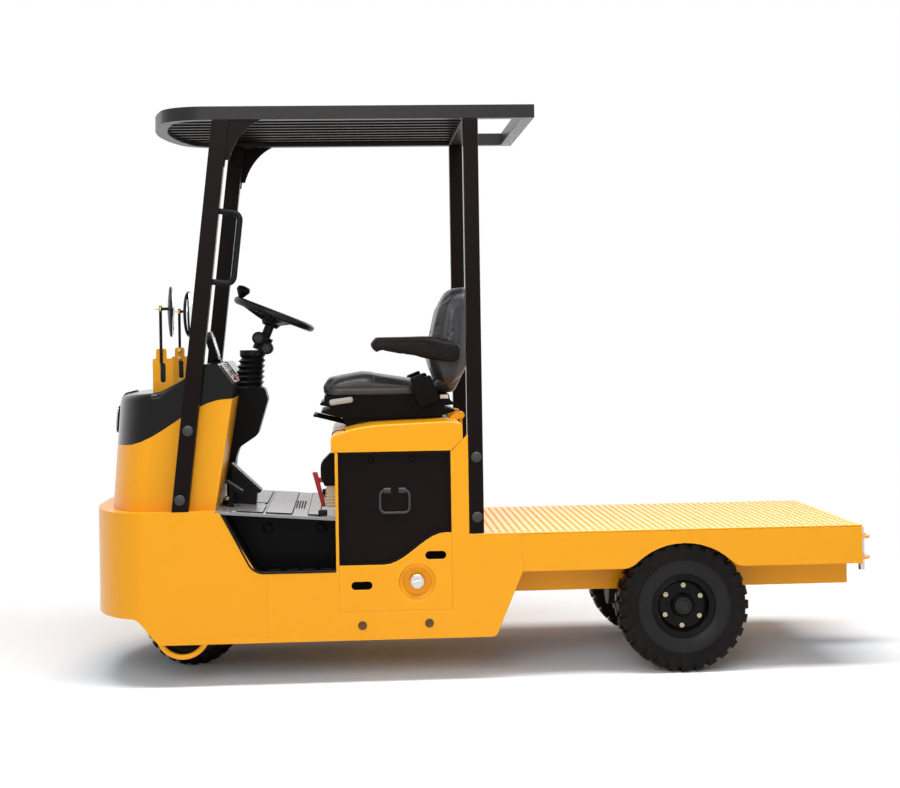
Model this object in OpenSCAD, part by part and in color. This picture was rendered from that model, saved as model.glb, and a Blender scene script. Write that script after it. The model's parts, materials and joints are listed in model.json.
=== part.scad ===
// Electric three-wheel platform tow tractor: one steered front wheel, two driven rear wheels,
// a seat on the battery hood, an overhead guard and a load deck with a pin coupler.
// +X is forward, +Y is left, +Z is up, and the floor is Z = 0.
// Modules draw with X measured from the front axle, and on_floor() moves them to the middle.

/* [Overall] */
// Front axle to rear axle
wheelbase = 2020; // [1950:10:2150]
// Front axle to the tip of the nose
front_overhang = 375; // [360:5:400]
// Rear axle to the end of the deck
rear_overhang = 735; // [680:5:820]
// End of the deck to the tip of the coupler
hitch_reach = 185; // [160:5:220]
// Width over the side sheets
body_w = 1100; // [1000:10:1200]
// Underside of the sills above the floor
ground_clearance = 172; // [160:2:190]
// Free height between the rear tyres and the deck plate
deck_clearance = 42; // [36:1:60]
// Lower edge of the deck skirts below the deck
skirt_drop = 157; // [140:1:170]
// Lower edge of the deck rails below the deck
rail_drop = 263; // [240:1:280]
// Lower edge of the front deck beam below the deck
beam_drop = 148; // [130:1:156]
// Top of the overhead guard
roof_h = 2313; // [2100:5:2500]

/* [Sheets and fits] */
// Side sheet thickness
side_sheet = 6; // [4:1:8]
// Deck plate thickness
deck_sheet = 6; // [4:1:8]
// Wall of the battery box
wall = 12; // [8:1:14]
// Clearance between pieces that seat on each other
fit = 0.3; // [0.2:0.1:0.5]
// Radial clearance of running pins
pin_fit = 0.08; // [0.05:0.01:0.1]

/* [Nose] */
// Top ledge of the lower body
ledge_h = 700; // [690:2:712]
// Front axle to where the nose starts to round
nose_straight = 145; // [130:5:160]
// Half width of the flat at the tip of the nose
nose_flat = 100; // [80:5:140]
// Rise of the chin above the sills
chin_rise = 106; // [90:2:120]
// Start of the chin curve ahead of the front axle
chin_rear = 74; // [60:1:90]
// End of the chin curve ahead of the front axle
chin_front = 200; // [180:1:220]
// Back of the nose sheet along the sill, behind the front axle
nose_back = 337; // [330:1:345]

/* [Steps and floor] */
// Top corner of the step opening behind the front axle
step_front = 151; // [145:1:160]
// Length of the slanted front edge of the step opening
step_run = 148; // [130:1:160]
// Radius at the foot of the slanted edge
step_round = 66; // [40:1:66]
// Step tread height
step_h = 446; // [436:2:456]
// Step depth into the side
step_d = 190; // [160:5:200]
// Step liner thickness
liner_t = 5; // [4:1:6]
// Fall of the floor towards the seat box
floor_fall = 36; // [24:1:44]
// Floor plate and mat thickness
floor_t = 12; // [10:1:14]
// Raised pads of the mat
pad_t = 3; // [2:0.5:4]

/* [Cowl and dash] */
// Ledge left free around the cowl
cowl_inset = 62; // [61:1:70]
// Top of the yellow cowl at its rear corner
cowl_h = 1146; // [1060:2:1240]
// Cowl rear face behind the front axle, at the ledge
cowl_back_low = 133; // [128:1:140]
// Cowl rear face behind the front axle, at its top
cowl_back_top = 206; // [200:1:212]
// Backward lean of the cowl front
cowl_lean = 38; // [30:1:60]
// Drop of the black and yellow seam towards the front
cowl_seam_drop = 184; // [160:2:200]
// Front edge of the dash cover above the cowl
cover_rise = 16; // [10:1:24]
// Ridge of the dash cover above the cowl
dash_rise = 141; // [120:1:150]
// Width of the ridge
ridge_w = 57; // [45:1:65]
// Start of the ridge behind the front axle
ridge_x = 93; // [85:1:100]
// Height of the instrument face
face_drop = 87; // [70:1:95]
// Half width of the notch for the steering column
column_notch = 84; // [80:1:90]

/* [Lamp, display and mirrors] */
// Height of the front lamp
lamp_h = 116; // [100:2:130]
// Front lamp in front of the cover
lamp_out = 16; // [12:1:20]
// Middle of the lamp below the top of the cowl
lamp_drop = 92; // [80:1:96]
// Display width
display_w = 150; // [120:2:180]
// Display height
display_h = 122; // [100:2:130]
// Display thickness
display_t = 28; // [24:1:34]
// Display to the right of the middle
display_y = 150; // [140:5:180]
// Mirror bracket in from the side of the body
mirror_in = 160; // [150:5:180]
// Mirror bracket thickness
bracket_t = 6; // [5:1:8]
// Mirror bracket length
bracket_l = 83; // [76:1:90]
// Top of the mirror brackets above the cowl
bracket_rise = 205; // [190:1:215]
// Slot in the mirror brackets
bracket_slot = 21; // [18:1:24]
// Middle of the mirrors above the cowl
mirror_rise = 354; // [340:2:370]
// Mirror diameter
mirror_d = 204; // [180:2:220]
// Mirror stalk diameter
stalk_d = 12; // [10:1:14]

/* [Battery box] */
// Front axle to the front face of the battery box
box_front = 613; // [600:1:625]
// Length of the battery box
box_l = 535; // [480:1:600]
// Rear pillar beside the panels
pillar_w = 71; // [60:1:80]
// Front edge strip beside the panels
strip_w = 12; // [10:1:16]
// Lower edge of the panels
panel_low = 288; // [280:1:296]
// Lower edge of the hood above the floor at the seat box
box_rise = 261; // [240:1:290]
// Battery in from each side sheet
battery_side = 56; // [50:1:80]

/* [Panels] */
// Front seam of the black panel above the lower edge
seam_low = 184; // [170:1:190]
// Rise of the seam towards the rear
seam_rise = 124; // [110:1:130]
// Straight length of the seam at the front
seam_lead = 178; // [160:1:190]
// Straight length of the seam at the rear
seam_tail = 22; // [15:1:30]
// Depth of the dished black panel
dish_d = 12; // [10:1:14]
// Rim of the dished black panel
dish_rim = 8; // [6:1:10]
// Width of the bail handle
bail_w = 128; // [120:1:136]
// Height of the bail handle
bail_h = 100; // [90:1:106]
// Bail rod diameter
bail_d = 10; // [8:1:11]
// Middle of the bail below the hood
bail_drop = 201; // [190:1:215]
// Oblong slot length
slot_l = 84; // [76:1:90]
// Oblong slot height
slot_h = 33; // [28:1:36]
// Lock recess radius
recess_r = 74; // [66:1:76]
// Lock recess depth
recess_d = 24; // [18:1:28]
// Lock knob diameter
knob_d = 60; // [52:1:66]

/* [Hood] */
// Top of the hood above its lower edge
hood_rise = 117; // [105:1:130]
// Front edge of the hood ahead of the box
hood_lip = 15; // [10:1:20]
// Hood skin
hood_skin = 4; // [3:1:5]
// Hood back ahead of the box rear
hood_gap = 20; // [18:1:24]
// Slanted lower rear corner of the hood
hood_cut = 48; // [40:1:56]
// Hinge pin diameter
hinge_pin = 16; // [14:1:18]
// Hinge knuckle diameter
hinge_d = 30; // [28:1:34]
// Hinge to each side of the middle
hinge_y = 175; // [160:1:190]
// Hinge knuckle width
hinge_w = 50; // [40:1:60]

/* [Overhead guard] */
// Post tube size across the machine
post_w = 60; // [56:1:61]
// Half of the front post seen from the side
post_half = 33; // [28:1:35]
// Foot of the front posts ahead of the front axle
front_post_foot = 4; // [0:1:8]
// Top of the front posts behind the front axle
front_post_top = 179; // [170:1:188]
// Gusset length along the roof
gusset_l = 126; // [110:1:140]
// Gusset height
gusset_h = 160; // [140:1:180]
// Gusset thickness
gusset_t = 8; // [6:1:10]
// Height of the roof tube
roof_tube = 54; // [50:1:58]
// Width of the roof tube
roof_rail = 50; // [46:1:54]
// Front of the roof ahead of the front axle
roof_front = 126; // [110:1:140]
// Back of the roof behind the rear posts
roof_tail = 229; // [220:1:240]
// Corner radius of the roof in plan
roof_corner = 190; // [160:5:220]
// Radius of the bowed front edge of the roof
roof_bow = 1510; // [1300:10:1800]
// Pitch of the roof sheet ribs
rib_pitch = 100; // [90:5:110]
// Height of the roof sheet ribs
rib_h = 22; // [18:1:26]
// Roof sheet thickness
roof_sheet_t = 3; // [2:0.5:4]
// Grab handle bar diameter
grip_d = 24; // [20:1:26]
// Grab handle reach behind the post
grip_out = 84; // [76:1:96]
// Bend radius of the grab handle
grip_bend = 30; // [26:1:34]
// Top arm of the grab handle below the roof
grip_drop = 362; // [340:2:400]
// Length of the grab handle
grip_h = 282; // [260:2:300]

/* [Rear wheels] */
// Rear tyre diameter over the lugs
rear_tyre_d = 540; // [520:2:560]
// Rear tyre width
rear_tyre_w = 160; // [150:1:170]
// Gap between the tyre and the side sheet
rear_tyre_gap = 8; // [7:1:12]
// Bead seat diameter of the rear rim
rear_rim_d = 229; // [222:1:235]
// Rear rim width
rear_rim_w = 116; // [108:1:122]
// Wheel arch radius
arch_r = 285; // [280:1:290]
// Blend of the wheel arch into the skirt
arch_blend = 80; // [60:1:90]
// Top of the wheel arch below the deck
arch_drop = 58; // [50:1:64]

/* [Rear axle] */
// Axle tube diameter
axle_tube = 90; // [80:1:100]
// Gear case diameter
case_d = 230; // [210:2:250]
// Gear case width
case_w = 150; // [130:2:170]
// Drive motor diameter
motor_d = 200; // [180:2:210]
// Drive motor length
motor_l = 170; // [150:5:200]
// Brake drum diameter
drum_d = 196; // [180:2:200]
// Brake drum width
drum_w = 30; // [24:1:36]
// Stub axle diameter
stub_d = 60; // [50:1:64]

/* [Front wheel] */
// Front tyre diameter over the lugs
front_tyre_d = 415; // [405:1:425]
// Front tyre width
front_tyre_w = 106; // [100:1:110]
// Bead seat diameter of the front rim
front_rim_d = 203; // [195:1:210]
// Front rim width
front_rim_w = 76; // [70:1:80]
// Kingpin diameter
kingpin_d = 80; // [70:1:90]
// Fork leg thickness
fork_leg = 18; // [14:1:22]
// Free space between tyre and fork
fork_gap = 9; // [8:1:14]
// Front axle pin diameter
axle_pin = 36; // [30:1:40]

/* [Steering] */
// Steering wheel diameter
steer_d = 360; // [340:2:376]
// Grip diameter
steer_grip = 28; // [24:1:32]
// Tilt of the steering wheel
steer_tilt = 22; // [18:1:26]
// Hub of the steering wheel behind the front axle
hub_back = 345; // [340:1:350]
// Hub of the steering wheel above the cowl
hub_rise = 309; // [305:1:315]
// Hub diameter
hub_d = 84; // [76:1:90]
// Rim of the steering wheel above its hub
rim_rise = 37; // [30:1:44]
// Spinner knob diameter
spinner_d = 58; // [50:1:64]
// Column shroud width
column_w = 140; // [120:2:156]
// Bellows height
bellows_h = 138; // [132:6:144]
// Bellows diameter at the foot
bellows_d = 136; // [120:2:140]

/* [Seat] */
// Seat width
seat_w = 470; // [440:5:500]
// Back of the backrest to the front of the cushion
seat_l = 602; // [580:1:620]
// Seat deck above the hood
seat_rise = 98; // [94:1:110]
// Cushion length
cushion_l = 440; // [400:5:445]
// Crest of the cushion behind its front
cushion_crest = 170; // [140:5:220]
// Cushion thickness at its crest
cushion_t = 96; // [84:1:110]
// Backrest height above the seat deck
backrest_h = 468; // [400:5:500]
// Backrest thickness at the small of the back
backrest_t = 150; // [130:1:152]
// Armrest length
armrest_l = 373; // [340:1:390]
// Armrest width
armrest_w = 62; // [54:1:70]
// Armrest top above the seat deck
armrest_rise = 245; // [230:1:260]

/* [Tie-down loops] */
// Outer radius of the loop
loop_r = 110; // [100:1:115]
// Rod of the loop
loop_t = 22; // [18:1:24]

/* [Coupler] */
// Coupler pin diameter
pin_d = 28; // [24:1:32]
// Free height between the coupler plates
jaw_h = 78; // [70:1:86]
// Coupler plate thickness
jaw_t = 12; // [10:1:14]
// Half width of the coupler plates
jaw_half = 55; // [48:1:60]
// Middle of the coupler below the deck
jaw_drop = 155; // [150:1:160]

/* [Hidden] */
$fn = 64;
yellow = [0.96, 0.65, 0.18];
dark = [0.09, 0.085, 0.085];
black = [0.05, 0.05, 0.055];
rubber = [0.06, 0.06, 0.06];
silver = [0.75, 0.75, 0.76];

// Places along the machine
overall = front_overhang + wheelbase + rear_overhang + hitch_reach;
axle_x = overall / 2 - front_overhang;
half_w = body_w / 2;
inner_w = half_w - side_sheet;
rear_x = -wheelbase;
deck_end = -(wheelbase + rear_overhang);
box_x = -box_front;
box_rear = box_x - box_l;
deck_start = box_rear - post_w - 8;
panel_front = box_x - strip_w;
panel_rear = box_rear + pillar_w;
panel_mid = (panel_front + panel_rear) / 2;

// Heights
rear_r = rear_tyre_d / 2;
front_r = front_tyre_d / 2;
deck_bottom = rear_tyre_d + deck_clearance;
deck_h = deck_bottom + deck_sheet;
skirt_low = deck_h - skirt_drop;
rail_low = deck_h - rail_drop;
arch_top = deck_h - arch_drop;
beam_low = deck_h - beam_drop;
jaw_z = deck_h - jaw_drop;
chin_h = ground_clearance + chin_rise;
floor_rear_h = ledge_h - floor_fall;
hood_low = floor_rear_h + box_rise;
hood_h = hood_low + hood_rise;
panel_top = hood_low - 4;
roof_z = roof_h - roof_tube;
seat_deck = hood_h + seat_rise;

// Frame and deck
sill_round = 25;
sill_rear_low = box_rear - 103;
sill_rear = box_rear - 214;
rear_tyre_out = inner_w - rear_tyre_gap;
rear_wheel_y = rear_tyre_out - rear_tyre_w / 2;
rail_gap = 26;
rail_w = 60;
rail_sheet = 8;
rail_y = rear_wheel_y - rear_tyre_w / 2 - rail_gap;
end_t = 12;
knee_x = -(step_front + step_run);
step_top = -step_front - 20;

// Rear wheel and axle
drum_face = 14;
dish_out = 22;
rear_hub_r = 44;
rear_hub_out = 40;
axle_cap_r = 36;
axle_cap_t = 12;
drum_out = rear_wheel_y - drum_face;
lug_count = 28;
lug_groove = 17;
lug_depth = 16;

// Front wheel and fork
fork_in = front_tyre_w / 2 + fork_gap;
crown_z = front_tyre_d + 12;
crown_t = 30;
crown_half = 75;
bearing_low = crown_z + crown_t + 43;
bearing_h = 110;
beam_d = 180;
beam_h = 80;
front_hub_r = 45;

// Guard
post_y = half_w - post_w / 2;
post_lean = atan((front_post_foot + front_post_top) / (roof_z - ledge_h));
roof_back = box_rear - post_w - roof_tail;
rib_half_count = floor((half_w - roof_rail) / rib_pitch);
grip_low_z = roof_z - grip_drop - grip_h;
grip_l = grip_h / cos(post_lean);

// Hood and hinge
hood_out = 2;
hood_back = box_rear + hood_gap;
hinge_x = box_rear + 6;
hinge_z = hood_h + 8;

// Steering
hub_x = -hub_back;
hub_z = cowl_h + hub_rise;
hub_low = 20;
column_x = -246;
column_z = cowl_h + 30;
rib_n = 6;
rib_t = bellows_h / rib_n;
rib_shift = 3.5;
rib_taper = 4;

// Seat
seat_half = seat_w / 2;
seat_x = box_rear - 14;
cushion_front = seat_x + seat_l;
pan_z = hood_h + 28;

// Moves a piece drawn from the front axle to the middle of the machine
module on_floor() translate([axle_x, 0, 0]) children();

// Draws the left piece, or mirrors it into the right one
module side(right) {
    if (right) mirror([0, 1, 0]) children();
    else children();
}

// Stands a profile of X and Z up and gives it a width from y0 to y1
module slab(y0, y1) translate([0, y1, 0]) rotate([90, 0, 0]) linear_extrude(y1 - y0) children();

// A plane vector of length one, and a plane vector turned by an angle
function unit(v) = v / norm(v);
function turned(v, a) = [v[0] * cos(a) - v[1] * sin(a), v[0] * sin(a) + v[1] * cos(a)];

// Corner b between a and c in an arc of radius r, limited by the shorter side
function corner(a, b, c, r) = r == 0 ? [b] :
    let (u = unit(a - b), v = unit(c - b), half = acos(u * v) / 2,
        fitted = min(r, 0.49 * min(norm(a - b), norm(c - b)) * tan(half)),
        middle = b + unit(u + v) * fitted / sin(half),
        start = b + u * fitted / tan(half) - middle,
        turn = (180 - 2 * half) * sign(cross(b - a, c - b)), steps = ceil(abs(turn) / 15))
    [for (i = [0:steps]) middle + turned(start, turn * i / steps)];

// Closed outline of [x, z, radius] points
function rounded(p) = [for (i = [0:len(p) - 1])
    let (a = p[(i + len(p) - 1) % len(p)], b = p[i], c = p[(i + 1) % len(p)])
    each corner([a[0], a[1]], [b[0], b[1]], [c[0], c[1]], b[2])];

// Straight line from p to q at a place along X
function on_line(p, q, x) = p[1] + (q[1] - p[1]) * (x - p[0]) / (q[0] - p[0]);

// Plan outline of the nose, inset by t, back to x_back
function nose_outline(t, x_back) = concat(
    [[x_back, half_w - t]],
    [for (a = [0:6:90]) nose_point(t, a, 1)],
    [for (a = [90:-6:0]) nose_point(t, a, -1)],
    [[x_back, -half_w + t]]);
function nose_point(t, a, s) = [nose_straight + (front_overhang - nose_straight - t) * sin(a),
    s * (nose_flat + (half_w - nose_flat - t) * cos(a))];

// Underside of the nose from its tip down to the sill, as a smooth step
function chin_curve() = [for (u = [0:0.1:1])
    [chin_front + (chin_rear - chin_front) * u,
        chin_h + (ground_clearance - chin_h) * (1 - cos(180 * u)) / 2]];

// Yellow lower nose: rounded sheet, ledge on top, open below for the steered wheel
module nose_shell() color(yellow) on_floor() difference() {
    translate([0, 0, ground_clearance]) linear_extrude(ledge_h - ground_clearance)
        polygon(nose_outline(0, -nose_back));
    translate([0, 0, ground_clearance - 1]) linear_extrude(ledge_h - ground_clearance + 1 - side_sheet)
        polygon(nose_outline(side_sheet, -nose_back - 1));
    slab(-half_w - 1, half_w + 1) polygon(concat(
        [[front_overhang + 1, ground_clearance - 1], [front_overhang + 1, chin_h]],
        chin_curve(), [[chin_rear, ground_clearance - 1]]));
    slab(-half_w - 1, half_w + 1) polygon(rounded([[-nose_back - 1, ledge_h + 1, 0],
        [-cowl_back_low, ledge_h + 1, 0], [-cowl_back_low, ledge_h - side_sheet - 1, 0],
        [-step_front, ledge_h - side_sheet - 1, 0], [knee_x, step_h, step_round],
            [-nose_back - 1, step_h, 0]]));
}

// Side sheet of the frame: sill, front edge strip, rear pillar up to the hood and slanted end
module frame_side(right) color(yellow) on_floor() side(right) slab(inner_w, half_w)
    polygon(rounded([[-nose_back, ground_clearance, 0], [sill_rear_low, ground_clearance, sill_round],
        [sill_rear, skirt_low, 0], [sill_rear, deck_bottom, 0], [box_rear, deck_bottom, 0],
        [box_rear, panel_top + hood_cut + hood_gap, 0], [hood_back + hood_cut, panel_top, 0],
        [panel_rear, panel_top, 0], [panel_rear, panel_low, 0], [panel_front, panel_low, 0],
        [panel_front, panel_top, 0], [box_x, panel_top, 0], [box_x, step_h, 0], [-nose_back, step_h, 0]]));

// Cross beam that carries the kingpin bearing
module steer_crossmember() color(dark) on_floor() difference() {
    union() {
        translate([-beam_d / 2, -inner_w, bearing_low + 20]) cube([beam_d, 2 * inner_w, beam_h]);
        translate([0, 0, bearing_low]) cylinder(d = kingpin_d + 50, h = bearing_h);
    }
    translate([0, 0, bearing_low - 1]) cylinder(d = kingpin_d + 2 * pin_fit, h = bearing_h + 2);
}

// Channel rail under the deck, open to the inside
module deck_rail(right) color(yellow) on_floor() side(right) difference() {
    translate([deck_end + end_t, rail_y - rail_w, rail_low])
        cube([deck_start - deck_end - end_t, rail_w, deck_bottom - rail_low]);
    translate([deck_end + end_t - 1, rail_y - rail_w - 1, rail_low + rail_sheet])
        cube([deck_start - deck_end - end_t + 2, rail_w - rail_sheet + 1,
            deck_bottom - rail_low - 2 * rail_sheet]);
}

// Wheel arch as an arc that blends into the lower edge of the skirt
arch_z = arch_top - arch_r;
arch_turn = asin((skirt_low + arch_blend - arch_z) / (arch_r + arch_blend));
arch_half = (arch_r + arch_blend) * cos(arch_turn);
function arch_outline() = concat(
    [for (i = [0:4]) [rear_x + arch_half, skirt_low + arch_blend] + turned([0, -arch_blend],
        (arch_turn - 90) * i / 4)],
    [for (i = [0:12]) [rear_x, arch_z] + turned([arch_r, 0], arch_turn + (180 - 2 * arch_turn) * i / 12)],
    [for (i = [0:4]) [rear_x - arch_half, skirt_low + arch_blend]
        + turned([0, -arch_blend], (90 - arch_turn) * (1 - i / 4))]);

// Side skirt of the deck with the wheel arch
module deck_skirt(right) color(yellow) on_floor() side(right) slab(inner_w, half_w)
    polygon(concat([[sill_rear, deck_bottom], [sill_rear, skirt_low]], arch_outline(),
        [[deck_end, skirt_low], [deck_end, deck_bottom]]));

// Load deck
module deck_plate() color(yellow) on_floor()
    translate([deck_end, -half_w, deck_bottom]) cube([deck_start - deck_end, body_w, deck_sheet]);

// Beam across the front of the deck that the rear posts stand on
module deck_front_beam() color(yellow) on_floor() {
    translate([deck_start, -inner_w, beam_low])
        cube([box_rear - deck_start, 2 * inner_w, deck_bottom - beam_low]);
    translate([deck_start, -half_w, deck_bottom]) cube([box_rear - deck_start, body_w, deck_sheet]);
}

// End plate across the back of the deck
module deck_end_plate() color(yellow) on_floor()
    translate([deck_end, -inner_w, skirt_low - 6]) cube([end_t, 2 * inner_w, deck_bottom - skirt_low + 6]);

// Drive axle: housing turned about the wheel axis, motor, spring perches and stub ends with caps
module rear_axle() color(dark) on_floor() translate([rear_x, 0, rear_r]) {
    rotate([90, 0, 0]) rotate_extrude() polygon([[0, -drum_out], [drum_d / 2, -drum_out],
        [drum_d / 2, -drum_out + drum_w], [axle_tube / 2, -drum_out + drum_w + 12],
        [axle_tube / 2, -case_w], [case_d / 2, -case_w / 2], [case_d / 2, case_w / 2],
        [axle_tube / 2, case_w],
        [axle_tube / 2, drum_out - drum_w - 12], [drum_d / 2, drum_out - drum_w], [drum_d / 2, drum_out],
        [0, drum_out]]);
    translate([axle_tube / 2, 0, 20]) rotate([0, 90, 0]) {
        cylinder(d = motor_d, h = motor_l);
        cylinder(d = motor_d - 40, h = motor_l + 30);
    }
    for (s = [-1, 1]) {
        rotate([-90 * s, 0, 0]) {
            cylinder(d = stub_d, h = rear_wheel_y + rear_hub_out + 1);
            translate([0, 0, rear_wheel_y + rear_hub_out + fit]) cylinder(r = axle_cap_r, h = axle_cap_t);
        }
        translate([-axle_tube / 2 - 10, s * (rail_y - rail_w / 2) - rail_w / 2, 0])
            cube([axle_tube + 20, rail_w, rail_low - rear_r]);
    }
}

// Rear tow coupler: two ears with gussets on a back plate
ear_x = -hitch_reach + jaw_half;
pin_x = -hitch_reach + 36;
module tow_coupler() color(yellow) on_floor() translate([deck_end, 0, jaw_z]) {
    translate([0, 0, -jaw_h / 2 - jaw_t - 24]) rotate([0, 0, 180]) translate([0, -jaw_half - 15, 0])
        cube([14, 2 * jaw_half + 30, jaw_h + 2 * jaw_t + 48]);
    difference() {
        for (z = [-jaw_h / 2 - jaw_t, jaw_h / 2]) translate([0, 0, z]) {
            translate([ear_x, 0, 0]) cylinder(r = jaw_half, h = jaw_t);
            translate([ear_x, -jaw_half, 0]) cube([-ear_x, 2 * jaw_half, jaw_t]);
        }
        translate([pin_x, 0, -jaw_h]) cylinder(d = pin_d + 2 * fit, h = 2 * jaw_h);
    }
    for (y = [-jaw_half, jaw_half - 8]) slab(y, y + 8) polygon([[-14, jaw_h / 2 + jaw_t - 1],
        [-70, jaw_h / 2 + jaw_t - 1], [-14, jaw_h / 2 + jaw_t + 22]]);
}

// Coupler pin with its collar and grip
pin_up = 35;
pin_down = 50;
module tow_pin() color(silver) on_floor() translate([deck_end + pin_x, 0, jaw_z]) {
    translate([0, 0, -jaw_h / 2 - jaw_t - pin_down]) cylinder(d = pin_d,
        h = jaw_h + 2 * jaw_t + pin_up + pin_down);
    translate([0, 0, jaw_h / 2 + jaw_t + fit]) cylinder(d = pin_d + 16, h = 10);
}

// Underside and top of the sloping floor at a place along X
function floor_at(x) = on_line([-cowl_back_low, ledge_h], [box_x, floor_rear_h], x);
function floor_under(x) = floor_at(x) - floor_t - fit;
function floor_top(x) = floor_at(x) + fit;

// Hollow of the step seen from the side, grown by t
function step_outline(t) = rounded([[step_top + t, floor_under(step_top + t), 0],
    [knee_x + t / 2, step_h - t, step_round], [box_x, step_h - t, 0], [box_x, floor_under(box_x), 0]]);

// Black liner of the step: back wall, tread and slanted front in one shell
module step_well(right) color(black) on_floor() side(right) difference() {
    slab(inner_w - step_d, inner_w) polygon(step_outline(liner_t));
    slab(inner_w - step_d + liner_t, inner_w + 1) polygon(step_outline(0));
    slab(inner_w - step_d + liner_t, inner_w + 1) polygon([[step_top - 10, floor_under(step_top) - 20],
        [step_top - 10, ledge_h], [box_x - 1, ledge_h], [box_x - 1, step_h], [box_x + 20, step_h]]);
}

// Floor plate with its rubber mat, pads as [start, end] behind the front axle
pads = [[199, 313], [335, 438], [503, 549]];
pad_in = 95;
pad_edge = 40;
module floor_mat() color(rubber) on_floor() {
    slab(-inner_w, inner_w) polygon([[-cowl_back_low, ledge_h], [-cowl_back_low, ledge_h - floor_t],
        [box_x, floor_rear_h - floor_t], [box_x, floor_rear_h]]);
    for (p = pads) slab(pad_in, inner_w - pad_edge) pad_profile(p);
    for (p = [pads[1], pads[2]]) slab(-inner_w + pad_edge, -pad_in) pad_profile(p);
}

module pad_profile(p) polygon([[-p[0], floor_at(-p[0]) - 1], [-p[0] - 2, floor_at(-p[0]) + pad_t],
    [-p[1] + 2, floor_at(-p[1]) + pad_t], [-p[1], floor_at(-p[1]) - 1]]);

// Battery box: front wall, tray and rear wall between the side sheets, with the hinge knuckles
module battery_box() color(yellow) on_floor() difference() {
    union() {
        slab(-inner_w, inner_w) difference() {
            translate([box_rear, panel_low]) square([box_l, hood_low - panel_low - fit]);
            translate([box_rear + wall, panel_low + wall]) square([box_l - 2 * wall, hood_low]);
            translate([box_rear - 1, panel_top]) square([wall + 2, 10]);
        }
        for (s = [-1, 1]) translate([0, s * hinge_y, 0]) slab(-hinge_w / 2, hinge_w / 2) {
            translate([box_rear, hood_low - 60]) square([wall, hinge_z - hood_low + 60]);
            translate([hinge_x, hinge_z]) circle(d = hinge_d);
        }
    }
    translate([hinge_x, 0, hinge_z]) rotate([90, 0, 0])
        cylinder(d = hinge_pin + 2 * pin_fit, h = body_w, center = true);
}

// Traction battery as one block
module battery() color(dark) on_floor()
    translate([box_rear + wall + 20, -inner_w + battery_side, panel_low + wall])
        cube([box_l - 2 * wall - 40, 2 * (inner_w - battery_side), hood_low - panel_low - wall - 60]);

// Seam between the black and the yellow panel, an S that rises to the rear, moved up by t
seam_z = panel_low + seam_low;
seam_head = panel_front - seam_lead;
seam_end = panel_rear + seam_tail;
function seam_points(t) = [for (u = [0:0.1:1])
    [seam_head + (seam_end - seam_head) * u, seam_z + seam_rise * (1 - cos(180 * u)) / 2 + t]];

// Outline of the black panel inset by t
function panel_outline(t) = concat([[panel_front - fit - t, panel_top - t],
    [panel_front - fit - t, seam_z + 2 + t]],
    seam_points(2 + t), [[panel_rear + fit + t, seam_z + seam_rise + 2 + t],
        [panel_rear + fit + t, panel_top - t]]);

// Oblong hole at x and z
module oblong(x, z) translate([x, z]) {
    square([slot_l - slot_h, slot_h], center = true);
    for (s = [-1, 1]) translate([s * (slot_l - slot_h) / 2, 0]) circle(d = slot_h);
}

// Yellow lower panel with two oblong slots, and the lock knob in its stepped recess
recess_x = panel_rear + 141;
recess_z = panel_low + 112;
module lower_panel(right) color(yellow) on_floor() side(right) {
    slab(inner_w, half_w) difference() {
        polygon(concat([[panel_front - fit, panel_low + fit], [panel_front - fit, seam_z]], seam_points(0),
            [[panel_rear + fit, seam_z + seam_rise], [panel_rear + fit, panel_low + fit]]));
        oblong(panel_front - 89, panel_low + 102);
        oblong(panel_rear + 65, panel_low + 218);
        translate([recess_x, recess_z]) circle(r = recess_r);
    }
    translate([recess_x, inner_w, recess_z]) rotate([-90, 0, 0]) rotate_extrude() polygon([[0, -recess_d],
        [recess_r + 4, -recess_d], [recess_r + 4, 0.5], [recess_r, 0.5], [recess_r - 3, -8],
            [recess_r - 16, -12],
        [recess_r - 20, -recess_d + 4], [knob_d / 2 + 4, -recess_d + 4], [knob_d / 2, -6],
            [knob_d / 2 - 4, -2], [0, -2]]);
}

// Black battery panel, dished inside its rim, with a folding bail held by two clips
bail_z = hood_low - bail_drop;
bail_round = 22;
bail_gap = 40;
module side_panel(right) color(black) on_floor() side(right) {
    difference() {
        slab(half_w - 2 - dish_d - side_sheet, half_w - 2) polygon(panel_outline(0));
        slab(half_w - 2 - dish_d, half_w) polygon(panel_outline(dish_rim));
    }
    translate([panel_mid, half_w - 2 - dish_d + bail_d / 2 - 1, bail_z]) rotate([90, 0, 0]) {
        for (s = [-1, 1]) {
            translate([s * (bail_w - bail_d) / 2, bail_round - bail_h / 2 + bail_d / 2]) rotate([-90, 0, 0])
                cylinder(d = bail_d, h = bail_h - 2 * bail_round - bail_d);
            translate([s * bail_gap / 2, bail_h / 2 - bail_d / 2]) rotate([0, s * 90, 0])
                cylinder(d = bail_d, h = (bail_w - bail_d - bail_gap) / 2 - bail_round);
            translate([s * (bail_gap / 2 + 10) - 14, bail_h / 2 - 16, -3]) cube([28, 18, 9]);
            for (t = [-1, 1]) translate([s * ((bail_w - bail_d) / 2 - bail_round),
                t * (bail_h / 2 - bail_d / 2 - bail_round)])
                rotate([0, 0, s > 0 ? (t > 0 ? 0 : -90) : (t > 0 ? 90 : 180)]) rotate_extrude(angle = 90)
                    translate([bail_round, 0]) circle(d = bail_d);
        }
        translate([-(bail_w - bail_d) / 2 + bail_round, -bail_h / 2 + bail_d / 2]) rotate([0, 90, 0])
            cylinder(d = bail_d, h = bail_w - bail_d - 2 * bail_round);
    }
}

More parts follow.
